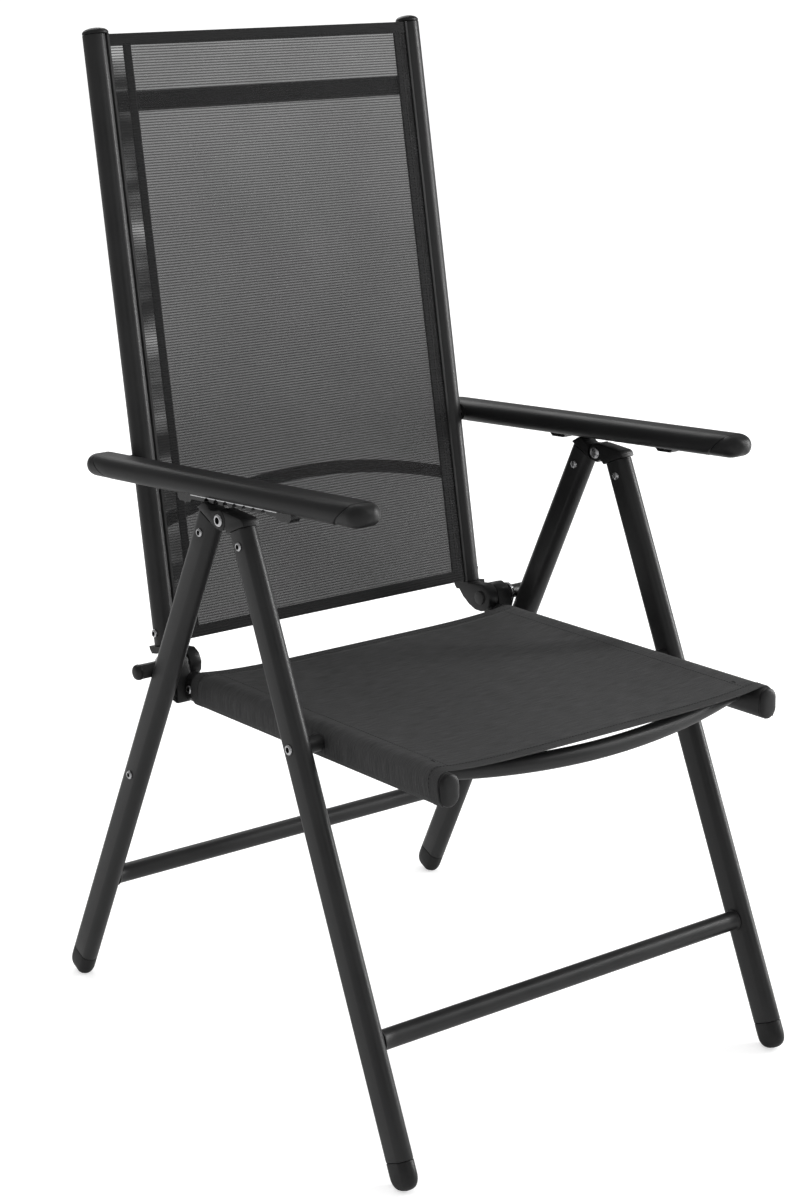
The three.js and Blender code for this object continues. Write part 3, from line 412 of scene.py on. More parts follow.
def spun(build, profile, steps):
    # profile is (place along X, radius) from one end to the other
    verts = [build.verts.new((place, 0, radius)) for place, radius in profile]
    edges = [build.edges.new(pair) for pair in zip(verts, verts[1:])]
    spin(build, verts + edges, (1, 0, 0), 2 * math.pi, steps, True)
    bmesh.ops.remove_doubles(build, verts=build.verts, dist=spinSeam)
    bmesh.ops.holes_fill(build, edges=build.edges, sides=0)


# A section in X and Z pulled forward, for the tubes and mouldings that lie
lying = Matrix.Rotation(math.radians(90), 4, "X")


def settled(name, build, place):
    bmesh.ops.transform(build, matrix=place, verts=build.verts)
    bmesh.ops.recalc_face_normals(build, faces=build.faces)
    mesh = bpy.data.meshes.new(name)
    build.to_mesh(mesh)
    build.free()
    return mesh


def addPiece(name, mesh, material, body, nodes, sharp=35, second=None, slotName=None):
    # the slot holds the named material; slotName is not used
    slotName = slotName or material
    mesh.shade_smooth()
    mesh.set_sharp_from_angle(angle=math.radians(sharp))
    obj = placed(name, mesh)
    obj.data.materials.append(materials[material])
    if second:
        obj.data.materials.append(materials[second])
    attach(obj, body)
    if nodes:
        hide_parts(*nodes)
    return obj


def addPulled(name, ending, ring, stations, place, material, body, sharp=35):
    # an oval ring (width, height, segments) pulled through its stations, in place of the named node
    build = bmesh.new()
    pull(build, ovalRing(build, *ring), stations)
    addPiece(name + ending, settled(name, build, place), material, body, [name], sharp)


def mirrored(side):
    return Matrix.Scale(side, 4, (1, 0, 0))


# CAD nodes that stay in view: near vertices joined and smooth shading, sharp only at real corners
softening = {"merge": 0.01 * mm, "corner": 38}


def softShading():
    group = bpy.data.node_groups.new("soft_shading", "GeometryNodeTree")
    for way in ("INPUT", "OUTPUT"):
        group.interface.new_socket("Geometry", in_out=way, socket_type="NodeSocketGeometry")
    graph = Graph(group)
    given = graph.node("NodeGroupInput").outputs[0]
    merge = graph.node("GeometryNodeMergeByDistance", {0: given, "Distance": softening["merge"]})
    faces = graph.node("GeometryNodeSetShadeSmooth", {0: merge.outputs[0]}, domain="FACE")
    angle = graph.node("GeometryNodeInputMeshEdgeAngle").outputs["Unsigned Angle"]
    limits = {0: angle, 1: math.radians(softening["corner"])}
    sharper = graph.node("FunctionNodeCompare", limits, data_type="FLOAT", operation="GREATER_THAN")
    inputs = {0: faces.outputs[0], "Selection": sharper.outputs[0], "Shade Smooth": False}
    edges = graph.node("GeometryNodeSetShadeSmooth", inputs, domain="EDGE")
    graph.node("NodeGroupOutput", {0: edges.outputs[0]})
    return group


keptNodes = {
    "rear_leg_bracket": "black_plastic",
    "front_leg_bracket": "black_plastic",
    "seat_hinge_fitting": "black_plastic",
    "back_hinge_fitting": "black_plastic",
    "armrest_rack": "rack_steel",
    "armrest_bush": "black_plastic",
}
softGroup = softShading()
for keptName, keptMaterial in keptNodes.items():
    for sideName in sides:
        node = frame["nodes"][keptName + "_" + sideName]
        node.data.materials.clear()
        node.data.materials.append(materials[keptMaterial])
        node.modifiers.new("soft_shading", "NODES").node_group = softGroup
print("kept nodes done")

# Legs and their boots
legs = {
    "x": 254.5 * mm,
    "width": 20 * mm,
    "depth": 33 * mm,
    "edge": 0.9 * mm,
    "joint": 0.3 * mm,
    "lip": ((0 * mm, 0.93, 0.96), (-0.3 * mm, 0.975, 0.985), (-1 * mm, 1, 1)),
    "collar": 12 * mm,
    "dome": 17 * mm,
    "domePower": 2.6,
    "domeSteps": 13,
    "steps": 14,
    "segments": 40,
    "rear": {"y": 22.7 * mm, "top": -12 * mm, "body": "rear_leg_frame", "frame": rearFrame},
    "front": {"y": -24.1 * mm, "top": -16 * mm, "body": "front_leg_frame", "frame": frontFrame},
}


def heightsIn(place, node):
    # the node's lowest and highest place along a local frame's Z
    inverse = place.inverted()
    heights = [(inverse @ vert.co).z for vert in node.data.vertices]
    return min(heights), max(heights)


def addLeg(which, sideName):
    settings = legs[which]
    place = settings["frame"] @ Matrix.Translation((sides[sideName] * legs["x"], settings["y"], 0))
    width, depth = legs["width"], legs["depth"]
    name = which + "_leg_" + sideName
    end = heightsIn(settings["frame"], frame["nodes"][name])[0]
    ring = (width, depth, legs["segments"])
    stations = rounded(legs, end, settings["top"], width, depth)
    addPulled(name, "_tube", ring, stations, place, "powder_coat", settings["body"])
    face = end - legs["joint"]
    stations = [(face + drop, across, along) for drop, across, along in legs["lip"]]
    for share, size in domeSizes(legs["domeSteps"], legs["domePower"]):
        stations.append((face - legs["collar"] - share * legs["dome"], size, size))
    build = bmesh.new()
    pull(build, ovalRing(build, *ring), stations)
    bmesh.ops.transform(build, matrix=place, verts=build.verts)
    for vert in build.verts:
        vert.co.z = max(vert.co.z, 0.0)
    bmesh.ops.dissolve_degenerate(build, dist=tiny, edges=build.edges)
    name = which + "_foot_" + sideName
    addPiece(name + "_boot", settled(name, build, Matrix()), "black_plastic", settings["body"], [name])


for whichLegs in ("rear", "front"):
    for sideName in sides:
        addLeg(whichLegs, sideName)
print("legs done")

# Round bars, straight or bowed, with a small weld fillet at each end. A bar's ends and middle are places
# along its frame's Y and Z, in millimetres like its reach and radius.
weld = {"flare": 1.5 * mm, "length": 3.2 * mm, "shape": ((0, 0.7), (0.2, 1), (0.5, 0.7), (0.8, 0.2), (1, 0))}
barShape = {"steps": 16, "segments": 32, "sharp": 50}
bars = {
    "rear_crossbar": {
        "frame": rearFrame, "body": "rear_leg_frame", "reach": 244.2, "radius": 10.3,
        "ends": (22.7, -524.5),
    },
    "front_crossbar": {
        "frame": frontFrame, "body": "front_leg_frame", "reach": 244.2, "radius": 10.3,
        "ends": (-24.1, -536),
    },
    "seat_rear_bar": {
        "frame": seatFrame, "body": "seat_frame", "reach": 202.2, "radius": 9,
        "ends": (196, -5),
    },
    "seat_front_bow": {
        "frame": seatFrame, "body": "seat_frame", "reach": 202.8, "radius": 9.5,
        "ends": (-147, 8), "middle": (-171, -7),
    },
    "back_lumbar_bow": {
        "frame": backFrame, "body": "back_frame", "reach": 200.6, "radius": 7.6,
        "ends": (34.8, 144.5), "middle": (43.8, 177.5),
    },
}
bowSpan = 213.5 * mm


def barProfile(reach, radius):
    flare, length, steps = weld["flare"], weld["length"], barShape["steps"]
    half = [(reach - away * length, radius + rise * flare) for away, rise in weld["shape"]]
    half += [(reach * (1 - step / steps), radius) for step in range(1, steps)]
    return half + [(0, radius)] + [(-place, size) for place, size in reversed(half)]


def addBar(name, bar):
    build = bmesh.new()
    spun(build, barProfile(bar["reach"] * mm, bar["radius"] * mm), barShape["segments"])
    ends = bar["ends"]
    for vert in build.verts:
        bend = 1 - (vert.co.x / bowSpan) ** 2
        for axis, (end, middle) in enumerate(zip(ends, bar.get("middle", ends)), 1):
            vert.co[axis] += (end + bend * (middle - end)) * mm
    mesh = settled(name, build, bar["frame"])
    addPiece(name + "_tube", mesh, "powder_coat", bar["body"], [name], barShape["sharp"])


for barName, barSettings in bars.items():
    addBar(barName, barSettings)
print("bars done")

# Rivets, bolts and pins, spun about a line across the chair
# A head's shape is (share of its height, share of its radius)
hollowHead = ((0, 1), (0.3, 1), (0.65, 0.93), (0.92, 0.8), (1, 0.66), (0.9, 0.55), (-0.6, 0.5), (-0.62, 0.06))
plainHead = ((1, 0.3), (0.9, 0.62), (0.5, 0.92), (0, 1))
pinCap = ((0, 0.97), (0.1, 1), (0.45, 0.97), (0.75, 0.86), (0.93, 0.62), (1, 0.3))
# inside this share of the head's radius the bore is painted black as painted shade
shadedBoreShare = 0.6
headHeight = 2 * mm
shoulderEdge = {"length": 0.4 * mm, "depth": 0.5 * mm, "dark": 0.1 * mm}
gap = 0.3 * mm
# name: frame, body, spot, faces it clamps, shank and head radius, and a shoulder's (start, radius), in mm
rivets = {
    "rear_bracket_rivet": (rearFrame, "rear_leg_frame", (22.7, -32.5), (244.5, 264.5), 3, 4.6, None),
    "front_bracket_rivet": (frontFrame, "front_leg_frame", (-24.1, -32.5), (244.5, 264.5), 3, 4.6, None),
    "leg_pivot_rivet": (rearFrame, "rear_leg_frame", (0, 0), (244.5, 264.5), 4, 6.6, None),
    "link_rivet": (rearFrame, "rear_leg_frame", (22.7, -366.1), (244.5, 264.5), 4, 4.6, (240.2, 5)),
    "seat_pivot_bolt": (frontFrame, "front_leg_frame", (-24.1, -239.4), (244.5, 264.5), 4, 5.4, (226.7, 8.5)),
    "seat_fitting_rivet": (seatFrame, "seat_frame", (238, 0), (202.5, 224.5), 3, 4.6, None),
    "back_fitting_rivet": (backFrame, "back_frame", (33.2, 32), (199.2, 225.2), 3, 4.6, None),
}


def inMetres(spot):
    return [value * mm for value in spot]


def headProfile(shape, face, radius, height):
    return [(face + place * height, size * radius) for place, size in shape]


def addTurned(name, profile, place, spot, sideName, material, body, steps=28, dark=None):
    # dark is (spacer's end along X, radius of the bore, depth of the bore), black on a bright rivet: the
    # spacer is black, and the bore is painted black as painted shade
    build = bmesh.new()
    spun(build, profile, steps)
    for face in build.faces:
        middle = face.calc_center_median()
        away = math.hypot(middle.y, middle.z)
        if dark and (middle.x < dark[0] or (away < dark[1] and middle.x > dark[2])):
            face.material_index = 1
    seat = place @ Matrix.Translation((0, *spot)) @ mirrored(sides[sideName])
    mesh = settled(name, build, seat)
    fullName = name + "_" + sideName
    second = "black_plastic" if dark else None
    addPiece(fullName + "_turned", mesh, material, body, [fullName], second=second)


def addRivet(name, settings):
    place, body, spot, faces, shank, head, shoulder = settings
    inner, outer = faces[0] * mm - gap, faces[1] * mm + gap
    shank, head = shank * mm, head * mm
    # the hollow head's bore is painted black as painted shade
    dark = (0, shadedBoreShare * head, outer - headHeight)
    if shoulder:
        start, size = inMetres(shoulder)
        length, depth = shoulderEdge["length"], shoulderEdge["depth"]
        profile = [(start, size - depth), (start + length, size), (inner, size)]
        dark = (inner + shoulderEdge["dark"], *dark[1:])
    else:
        profile = headProfile(plainHead, inner, head, -headHeight)
    profile += [(inner, shank), (outer, shank)] + headProfile(hollowHead, outer, head, headHeight)
    for sideName in sides:
        addTurned(name, profile, place, inMetres(spot), sideName, "bright_steel", body, dark=dark)


for rivetName, rivetSettings in rivets.items():
    addRivet(rivetName, rivetSettings)

armBolt = {
    "face": 200.2 * mm, "nut": 243.4 * mm, "shank": 3.5 * mm,
    "head": 4.7 * mm, "nutSize": 7.4 * mm, "length": 3 * mm,
}
hingePin = {
    "start": 198.5 * mm, "end": 270 * mm, "radius": 8 * mm, "edge": 0.8 * mm,
    "startShape": ((0, 1), (0.3, 0.3), (1, 0)), "endShape": ((1, 0), (0, 0.5)),
    "cap": 6 * mm, "lip": 0.6 * mm, "steps": 36,
}


def addPins(sideName):
    face, nut, length, nutSize = (armBolt[key] for key in ("face", "nut", "length", "nutSize"))
    profile = headProfile(plainHead, face, armBolt["head"], -length)
    profile += [(face, armBolt["shank"]), (nut, armBolt["shank"]), (nut, nutSize), (nut + length, nutSize)]
    addTurned("armrest_bolt", profile, armFrame, (0, 0), sideName, "bright_steel", "arm_bolts")
    start, end, radius, edge, steps = (hingePin[key] for key in ("start", "end", "radius", "edge", "steps"))
    profile = [(start + away * edge, radius - inset * edge) for away, inset in hingePin["startShape"]]
    profile += [(end - away * edge, radius - inset * edge) for away, inset in hingePin["endShape"]]
    addTurned("hinge_pin", profile, pinFrame, (0, 0), sideName, "powder_coat", "hinge_pins", steps)
    profile = headProfile(pinCap, end + gap, radius + hingePin["lip"], hingePin["cap"])
    addTurned("hinge_pin_cap", profile, pinFrame, (0, 0), sideName, "black_plastic", "hinge_pins", steps)


for sideName in sides:
    addPins(sideName)
print("rivets and pins done")

# Side links: flat plates from the hinge pin down to the rear leg, narrower at the foot
sideLink = {
    "inner": 241.1 * mm,
    "thickness": 3 * mm,
    "head": 12 * mm,
    "foot": 5.4 * mm,
    "edge": 0.3 * mm,
    "rimSize": (0.97, 0.997),
    "segments": 40,
}


def addSideLink(sideName):
    low = rearFrame @ Vector((0, *inMetres(rivets["link_rivet"][2])))
    along = pivots["recline"] - low
    length, head, foot = along.length, sideLink["head"], sideLink["foot"]
    build = bmesh.new()
    ring = ovalRing(build, 2 * head, length + 2 * head, sideLink["segments"])
    thick, edge, rim = sideLink["thickness"], sideLink["edge"], sideLink["rimSize"]
    pull(build, ring, [(0, *rim), (edge, 1, 1), (thick - edge, 1, 1), (thick, *rim)])
    for vert in build.verts:
        share = min(max(vert.co.y / length + 0.5, 0.0), 1.0)
        vert.co.x *= (foot + share * (head - foot)) / head
        if vert.co.y < -length / 2:
            vert.co.y = -length / 2 + (vert.co.y + length / 2) * foot / head
    upward = along.normalized()
    outward = Vector((1, 0, 0))
    turn = Matrix((upward.cross(outward), upward, outward)).transposed().to_4x4()
    place = Matrix.Translation(low + along / 2 + outward * sideLink["inner"]) @ turn
    name = "side_link_" + sideName
    mesh = settled(name, build, mirrored(sides[sideName]) @ place)
    addPiece(name + "_plate", mesh, "bright_steel", "side_links", [name])


for sideName in sides:
    addSideLink(sideName)
print("side links done")

# Seat side tubes and their front plugs
seatTube = {
    "x": 213.5 * mm,
    "width": 22 * mm,
    "height": 33 * mm,
    "front": 186 * mm,
    "rear": -245 * mm,
    "edge": 0.8 * mm,
    "steps": 12,
    "segments": 40,
}
seatPlug = {
    "dome": 5.5 * mm,
    "lip": ((0, 0.94, 0.96), (0.04, 0.98, 0.985), (0.12, 1, 1)),
    "domeShare": 0.75,
    "domePower": 2.6,
    "domeSteps": 11,
}


def addSeatTube(sideName):
    place = seatFrame @ Matrix.Translation((sides[sideName] * seatTube["x"], 0, 0)) @ lying
    width, height = seatTube["width"], seatTube["height"]
    ring = (width, height, seatTube["segments"])
    stations = rounded(seatTube, seatTube["rear"], seatTube["front"], width, height)
    addPulled("seat_side_tube_" + sideName, "_oval", ring, stations, place, "powder_coat", "seat_frame")
    face, dome, bulge = seatTube["front"] + gap, seatPlug["dome"], seatPlug["domeShare"]
    stations = [(face + away * dome, across, along) for away, across, along in seatPlug["lip"]]
    for share, size in domeSizes(seatPlug["domeSteps"], seatPlug["domePower"]):
        stations.append((face + (1 - bulge + bulge * share) * dome, size, size))
    addPulled("seat_front_plug_" + sideName, "_dome", ring, stations, place, "black_plastic", "seat_frame")


for sideName in sides:
    addSeatTube(sideName)
print("seat tubes done")

# Back side tubes with a sling slot on the inner side, their caps, and the upper bar
backTube = {
    "x": 212.2 * mm,
    "y": 33.2 * mm,
    "radius": 13 * mm,
    "start": 18 * mm,
    "section": (
        (-13.3, -5.6), (-13.7, -6.1), (-13.7, -7.9), (-13.4, -8.3), (-8.4, -8.3), (-8.4, -9.7),
        (-11.8, -9.7), (-12.2, -10.0), (-12.1, -10.5), (-11.7, -10.8), (-9.2, -10.9), (-8.9, -9.9),
    ),
    "arcStart": (-8.4, -9.92),
    "arcTurn": 334.5,
    "edge": 0.8 * mm,
    "steps": 16,
    "segments": 42,
    "sharp": 28,
}
backCap = {
    "dome": 7 * mm,
    "drop": 3.4 * mm,
    "length": 28.4 * mm,
    "width": 25.6 * mm,
    "shift": 1.2 * mm,
    "turn": 38,
    "shape": (
        (0, 0.96), (0.05, 1), (0.25, 1), (0.34, 0.985),
        (0.55, 0.9), (0.75, 0.74), (0.91, 0.45), (0.98, 0.2),
    ),
    "segments": 40,
}
capTop = heightsIn(backFrame, frame["nodes"]["back_top_cap_right"])[1]
tubeTop = capTop - backCap["dome"] - backCap["drop"]


def railRing(build):
    # the round of the tube is spun from beside the slot's lip, the slot is drawn point by point
    start = build.verts.new((*inMetres(backTube["arcStart"]), 0))
    made = spin(build, [start], (0, 0, 1), -math.radians(backTube["arcTurn"]), backTube["segments"], False)
    chain = vertsOf(made)[:1]
    chain += [build.verts.new((*inMetres(spot), 0)) for spot in backTube["section"]] + [start]
    for pair in zip(chain, chain[1:]):
        build.edges.new(pair)
    return list(build.verts)


def addBackTube(sideName):
    side = sides[sideName]
    place = backFrame @ Matrix.Translation((side * backTube["x"], backTube["y"], 0)) @ mirrored(side)
    build = bmesh.new()
    ring = railRing(build)
    size = 2 * backTube["radius"]
    pull(build, ring, rounded(backTube, backTube["start"], tubeTop, size, size))
    name = "back_side_tube_" + sideName
    mesh = settled(name, build, place)
    addPiece(name + "_rail", mesh, "powder_coat", "back_frame", [name], backTube["sharp"])
    ring = (backCap["length"], backCap["width"], backCap["segments"])
    stations = [(tubeTop + gap + share * backCap["dome"], part, part) for share, part in backCap["shape"]]
    turn = Matrix.Rotation(math.radians(backCap["turn"]), 4, "Z")
    place = place @ turn @ Matrix.Translation((-backCap["shift"], 0, 0))
    addPulled("back_top_cap_" + sideName, "_dome", ring, stations, place, "black_plastic", "back_frame")


for sideName in sides:
    addBackTube(sideName)

upperBar = {
    "y": 34.7 * mm,
    "height": 22 * mm,
    "depth": 15 * mm,
    "reach": 200.2 * mm,
    "drop": 83 * mm,
    "segments": 36,
}


def addUpperBar():
    height, depth = upperBar["height"], upperBar["depth"]
    stations = []
    for along, radius in barProfile(upperBar["reach"], 0):
        stations.append((along, 1 + 2 * radius / height, 1 + 2 * radius / depth))
    ring = (height, depth, upperBar["segments"])
    spot = Vector((0, upperBar["y"], capTop - upperBar["drop"]))
    place = backFrame @ Matrix.Translation(spot) @ Matrix.Rotation(math.radians(90), 4, "Y")
    sharp = barShape["sharp"]
    addPulled("back_upper_bar", "_oval", ring, stations, place, "powder_coat", "back_frame", sharp)


addUpperBar()
print("back frame done")

# Armrests: flat oval mouldings with a domed plug at each end and a channel below for the rack
armrest = {
    "x": 247 * mm,
    "width": 37.5 * mm,
    "height": 24.6 * mm,
    "front": 450 * mm,
    "rear": -44.5 * mm,
    "channelX": (248.2 * mm, 260.8 * mm),
    "channelY": (136.7 * mm, 337.3 * mm),
    "channelDepth": 5.8 * mm,
    "segments": 48,
    "sharp": 32,
}
armPlug = {
    "dome": 18 * mm,
    "power": 2.2,
    "steps": 10,
    "tipStep": 0.4,
    "size": 0.985,
    "rim": 30 * mm,
    "rimReach": 2 * mm,
    "slant": 15 * mm,
    "rimShape": ((-1.6, 0.985), (-0.9, 0.955), (0.0, 0.94), (0.7, 0.965), (1.2, 0.995), (1.8, 1.0)),
    "end": 50 * mm,
}


def plugStations():
    # (distance from the tip, size) of the plug and its rim, up to the plain moulding
    found = []
    steps, tip = armPlug["steps"], armPlug["tipStep"]
    for step in range(steps + 1):
        share = math.cos(math.pi / 2 * (step + tip) / (steps + tip))
        found.append((armPlug["dome"] * (1 - share), armPlug["size"] * domed(share, armPlug["power"])))
    found += [(armPlug["rim"] + away * mm, size) for away, size in armPlug["rimShape"]]
    return found + [(armPlug["end"], 1.0)]


def slantRims(build):
    # the moulding reaches further over the plug on top than below
    half = armrest["height"] / 2
    for tip, inward in ((-armrest["front"], 1), (-armrest["rear"], -1)):
        for vert in build.verts:
            away = (vert.co.y - tip) * inward
            if abs(away - armPlug["rim"]) < armPlug["rimReach"]:
                vert.co.y -= inward * armPlug["slant"] * vert.co.z / half
        for face in build.faces:
            middle = face.calc_center_median()
            away = (middle.y - tip) * inward + armPlug["slant"] * middle.z / half
            if away < armPlug["rim"]:
                face.material_index = 1


def addArmrest(sideName):
    side = sides[sideName]
    build = bmesh.new()
    ring = ovalRing(build, armrest["width"], armrest["height"], armrest["segments"])
    stations = [(armrest["rear"] + away, size, size) for away, size in plugStations()]
    stations += [(armrest["front"] - away, size, size) for away, size in reversed(plugStations())]
    pull(build, ring, stations)
    bmesh.ops.transform(build, matrix=lying, verts=build.verts)
    slantRims(build)
    lowX, highX = (value - armrest["x"] for value in armrest["channelX"])
    cuts = [((value, 0, 0), (1, 0, 0)) for value in (lowX, highX)]
    cuts += [((0, -value, 0), (0, 1, 0)) for value in armrest["channelY"]]
    for spot, normal in cuts:
        below = [face for face in build.faces if face.calc_center_median().z < 0]
        parts = below + list({edge for face in below for edge in face.edges})
        parts += list({vert for face in below for vert in face.verts})
        bmesh.ops.bisect_plane(build, geom=parts, dist=tiny, plane_co=spot, plane_no=normal)
    near, far = armrest["channelY"]
    mouth = []
    for face in build.faces:
        middle = face.calc_center_median()
        if lowX < middle.x < highX and -far < middle.y < -near and middle.z < 0:
            mouth.append(face)
    made = bmesh.ops.extrude_face_region(build, geom=mouth)["geom"]
    bmesh.ops.translate(build, verts=vertsOf(made), vec=(0, 0, armrest["channelDepth"]))
    bmesh.ops.delete(build, geom=mouth, context="FACES")
    name = "armrest_" + sideName
    place = armFrame @ mirrored(side) @ Matrix.Translation((armrest["x"], 0, 0))
    mesh = settled(name, build, place)
    body, sharp = name + "_body", armrest["sharp"]
    addPiece(name + "_moulding", mesh, "arm_plastic", body, [name], sharp, "black_plastic")


for sideName in sides:
    addArmrest(sideName)
print("armrests done")

# Slings: a grid cut along its seams, laid in place, thicker where it is folded and sewn
backSling = {
    "edge": 202.4 * mm,
    "level": 24.2 * mm,
    "start": 20 * mm,
    "topMargin": 0.8 * mm,
    "hem": 13 * mm,
    "strips": {"left": (174 * mm, 184 * mm), "right": (182.5 * mm, 192 * mm)},
    "bow": 1.4 * mm,
    "bowPower": 0.5,
    "thickness": 0.8 * mm,
    "fold": 0.35 * mm,
    "cell": 9 * mm,
}
backSling["length"] = tubeTop - backSling["topMargin"] - backSling["start"]
seatSling = {
    "front": 181 * mm,
    "rear": -232 * mm,
    "hem": 14 * mm,
    "sag": 6 * mm,
    "sagPower": 5,
    "clearance": 1.0 * mm,
    "flapTurn": 50,
    "flapSteps": 6,
    "roundSteps": 12,
    "halfSteps": 18,
    "sweep": 7 * mm,
    "thickness": 1.1 * mm,
    "fold": 0.4 * mm,
    "cell": 7 * mm,
}
seatSling["length"] = seatSling["front"] - seatSling["rear"]
clothShape = {"seam": 0.3 * mm, "underShare": 0.5, "sharp": 60}


def layCloth(name, width, seams, layersAt, spotAt, settings, material, nodeName, body):
    # a grid in the cloth's own plane, cut at its seams, then thickened and laid in place
    build = bmesh.new()
    length, cell = settings["length"], settings["cell"]
    columns, rows = round(width / cell), round(length / cell)
    bmesh.ops.create_grid(build, x_segments=columns, y_segments=rows, size=0.5)
    bmesh.ops.scale(build, verts=build.verts, vec=(width, length, 1))
    bmesh.ops.translate(build, verts=build.verts, vec=(0, length / 2, 0))
    for axis, place in seams:
        for shift in (-clothShape["seam"], clothShape["seam"]):
            spot, normal = [0, 0, 0], [0, 0, 0]
            spot[axis], normal[axis] = place + shift, 1
            parts = list(build.verts) + list(build.edges) + list(build.faces)
            bmesh.ops.bisect_plane(build, geom=parts, dist=tiny, plane_co=spot, plane_no=normal)
    flatMap = build.loops.layers.uv.new("cloth")
    count = build.verts.layers.float.new("layers")
    for face in build.faces:
        for loop in face.loops:
            loop[flatMap].uv = loop.vert.co.xy
    for vert in build.verts:
        vert[count] = layersAt(vert.co.x, vert.co.y)
    under = list(build.verts)
    made = bmesh.ops.extrude_face_region(build, geom=list(build.faces), use_keep_orig=True)["geom"]
    thin, fold = settings["thickness"], settings["fold"]
    for verts, direction, folded in ((under, -1, clothShape["underShare"]), (vertsOf(made), 1, 1)):
        for vert in verts:
            place, outward = spotAt(vert.co.x, vert.co.y)
            vert.co = place + outward * direction * (thin / 2 + folded * fold * (vert[count] - 1) / 2)
    mesh = settled(name, build, Matrix())
    return addPiece(name, mesh, material, body, [nodeName], clothShape["sharp"])


def backLayers(u, v):
    inner, outer = backSling["strips"]["right" if u > 0 else "left"]
    if inner < abs(u) < outer or not backSling["hem"] < v < backSling["length"] - backSling["hem"]:
        return 3.0
    return 2.0 if abs(u) >= outer else 1.0


def backSpot(u, v):
    along = math.sin(math.pi * min(max(v / backSling["length"], 0), 1)) ** backSling["bowPower"]
    bow = (1 - (u / backSling["edge"]) ** 2) * along
    place = backFrame @ Vector((u, backSling["level"] + backSling["bow"] * bow, backSling["start"] + v))
    return place, backFrame.to_3x3() @ Vector((0, -1, 0))


backSeams = [(0, sides[sideName] * place) for sideName in sides for place in backSling["strips"][sideName]]
backSeams += [(1, backSling["hem"]), (1, backSling["length"] - backSling["hem"])]
backCloth = layCloth(
    "back_sling_cloth", 2 * backSling["edge"], backSeams,
    backLayers, backSpot, backSling, "back_mesh", "back_sling", "back_frame",
)


def seatSection():
    # the cloth's way across the seat as (x, z, outward x, outward z), from the left flap to the right
    radius = seatTube["width"] / 2
    straight = seatTube["height"] / 2 - radius
    reach = radius + seatSling["clearance"]

    def around(turn, level):
        # beside the tube's round, whose middle is at this level
        outX, outZ = math.cos(turn), math.sin(turn)
        return seatTube["x"] + reach * outX, reach * outZ + level, outX, outZ

    flap, rounds, half = (seatSling[key] for key in ("flapSteps", "roundSteps", "halfSteps"))
    power, sag = seatSling["sagPower"], seatSling["sag"]
    low = [math.radians(seatSling["flapTurn"] * (step / flap - 1)) for step in range(flap)]
    right = [around(turn, -straight) for turn in low]
    right += [around(math.pi / 2 * step / rounds, straight) for step in range(rounds + 1)]
    middle = []
    for step in range(1, 2 * half):
        share = 1 - step / half
        slope = -power * math.copysign(abs(share) ** (power - 1), share) * sag / seatTube["x"]
        level = straight + reach - sag * (1 - abs(share) ** power)
        middle.append((share * seatTube["x"], level, slope / math.hypot(slope, 1), 1 / math.hypot(slope, 1)))
    left = [(-x, z, -outX, outZ) for x, z, outX, outZ in reversed(right)]
    return list(reversed(right + middle + left))


seatPath = seatSection()
seatLengths = [0.0]
for before, after in zip(seatPath, seatPath[1:]):
    seatLengths.append(seatLengths[-1] + math.dist(before[:2], after[:2]))
seatHalf = seatLengths[-1] / 2


def onSeatPath(u):
    run = min(max(u + seatHalf, 0.0), seatLengths[-1])
    spot = 0
    while spot < len(seatPath) - 2 and seatLengths[spot + 1] < run:
        spot += 1
    share = (run - seatLengths[spot]) / (seatLengths[spot + 1] - seatLengths[spot])
    return [a + share * (b - a) for a, b in zip(seatPath[spot], seatPath[spot + 1])]


def seatSpot(u, v):
    # the front edge is straight across and swept forward on the flap beside each tube
    x, z, outX, outZ = onSeatPath(u)
    beside = (abs(u) - seatTube["x"]) / (seatHalf - seatTube["x"])
    sweep = seatSling["sweep"] * min(max(beside, 0.0), 1.0)
    share = v / seatSling["length"]
    y = -(seatSling["rear"] + (seatSling["front"] + sweep - seatSling["rear"]) * share)
    return seatFrame @ Vector((x, y, z)), seatFrame.to_3x3() @ Vector((outX, 0, outZ)).normalized()


def seatLayers(u, v):
    return 1.0 if seatSling["hem"] < v < seatSling["length"] - seatSling["hem"] else 2.5


seatSeams = [(1, seatSling["hem"]), (1, seatSling["length"] - seatSling["hem"])]
seatCloth = layCloth(
    "seat_sling_cloth", 2 * seatHalf, seatSeams,
    seatLayers, seatSpot, seatSling, "seat_mesh", "seat_sling", "seat_frame",
)
print("slings done")

# Stitch lines: short flattened beads of thread
stitch = {
    "size": (2.6 * mm, 0.75 * mm, 0.45 * mm),
    "step": 3.9 * mm,
    "inset": 1.8 * mm,
    "lift": 0.12 * mm,
    "seatSide": 15 * mm,
    "seatEnd": 12 * mm,
    "sharp": 80,
}


def addStitches(name, seams, spotAt, layersAt, settings, body, slotName):
    build = bmesh.new()
    for (startU, startV), (endU, endV) in seams:
        count = round(math.dist((startU, startV), (endU, endV)) / stitch["step"])
        for number in range(count):
            share = (number + 0.5) / count
            ahead = (number + 0.6) / count
            u, v = startU + (endU - startU) * share, startV + (endV - startV) * share
            place, outward = spotAt(u, v)
            nextPlace = spotAt(startU + (endU - startU) * ahead, startV + (endV - startV) * ahead)[0]
            along = (nextPlace - place).normalized()
            side = along.cross(outward).normalized()
            lift = settings["thickness"] / 2 + settings["fold"] * (layersAt(u, v) - 1) / 2 + stitch["lift"]
            size = Matrix.Diagonal((*(value / 2 for value in stitch["size"]), 1))
            turn = Matrix((along, side, outward)).transposed().to_4x4()
            seat = Matrix.Translation(place + outward * lift) @ turn @ size
            bmesh.ops.create_icosphere(build, subdivisions=1, radius=1, matrix=seat)
    mesh = settled(name, build, Matrix())
    return addPiece(name, mesh, "sewing_thread", body, [], stitch["sharp"], slotName=slotName)


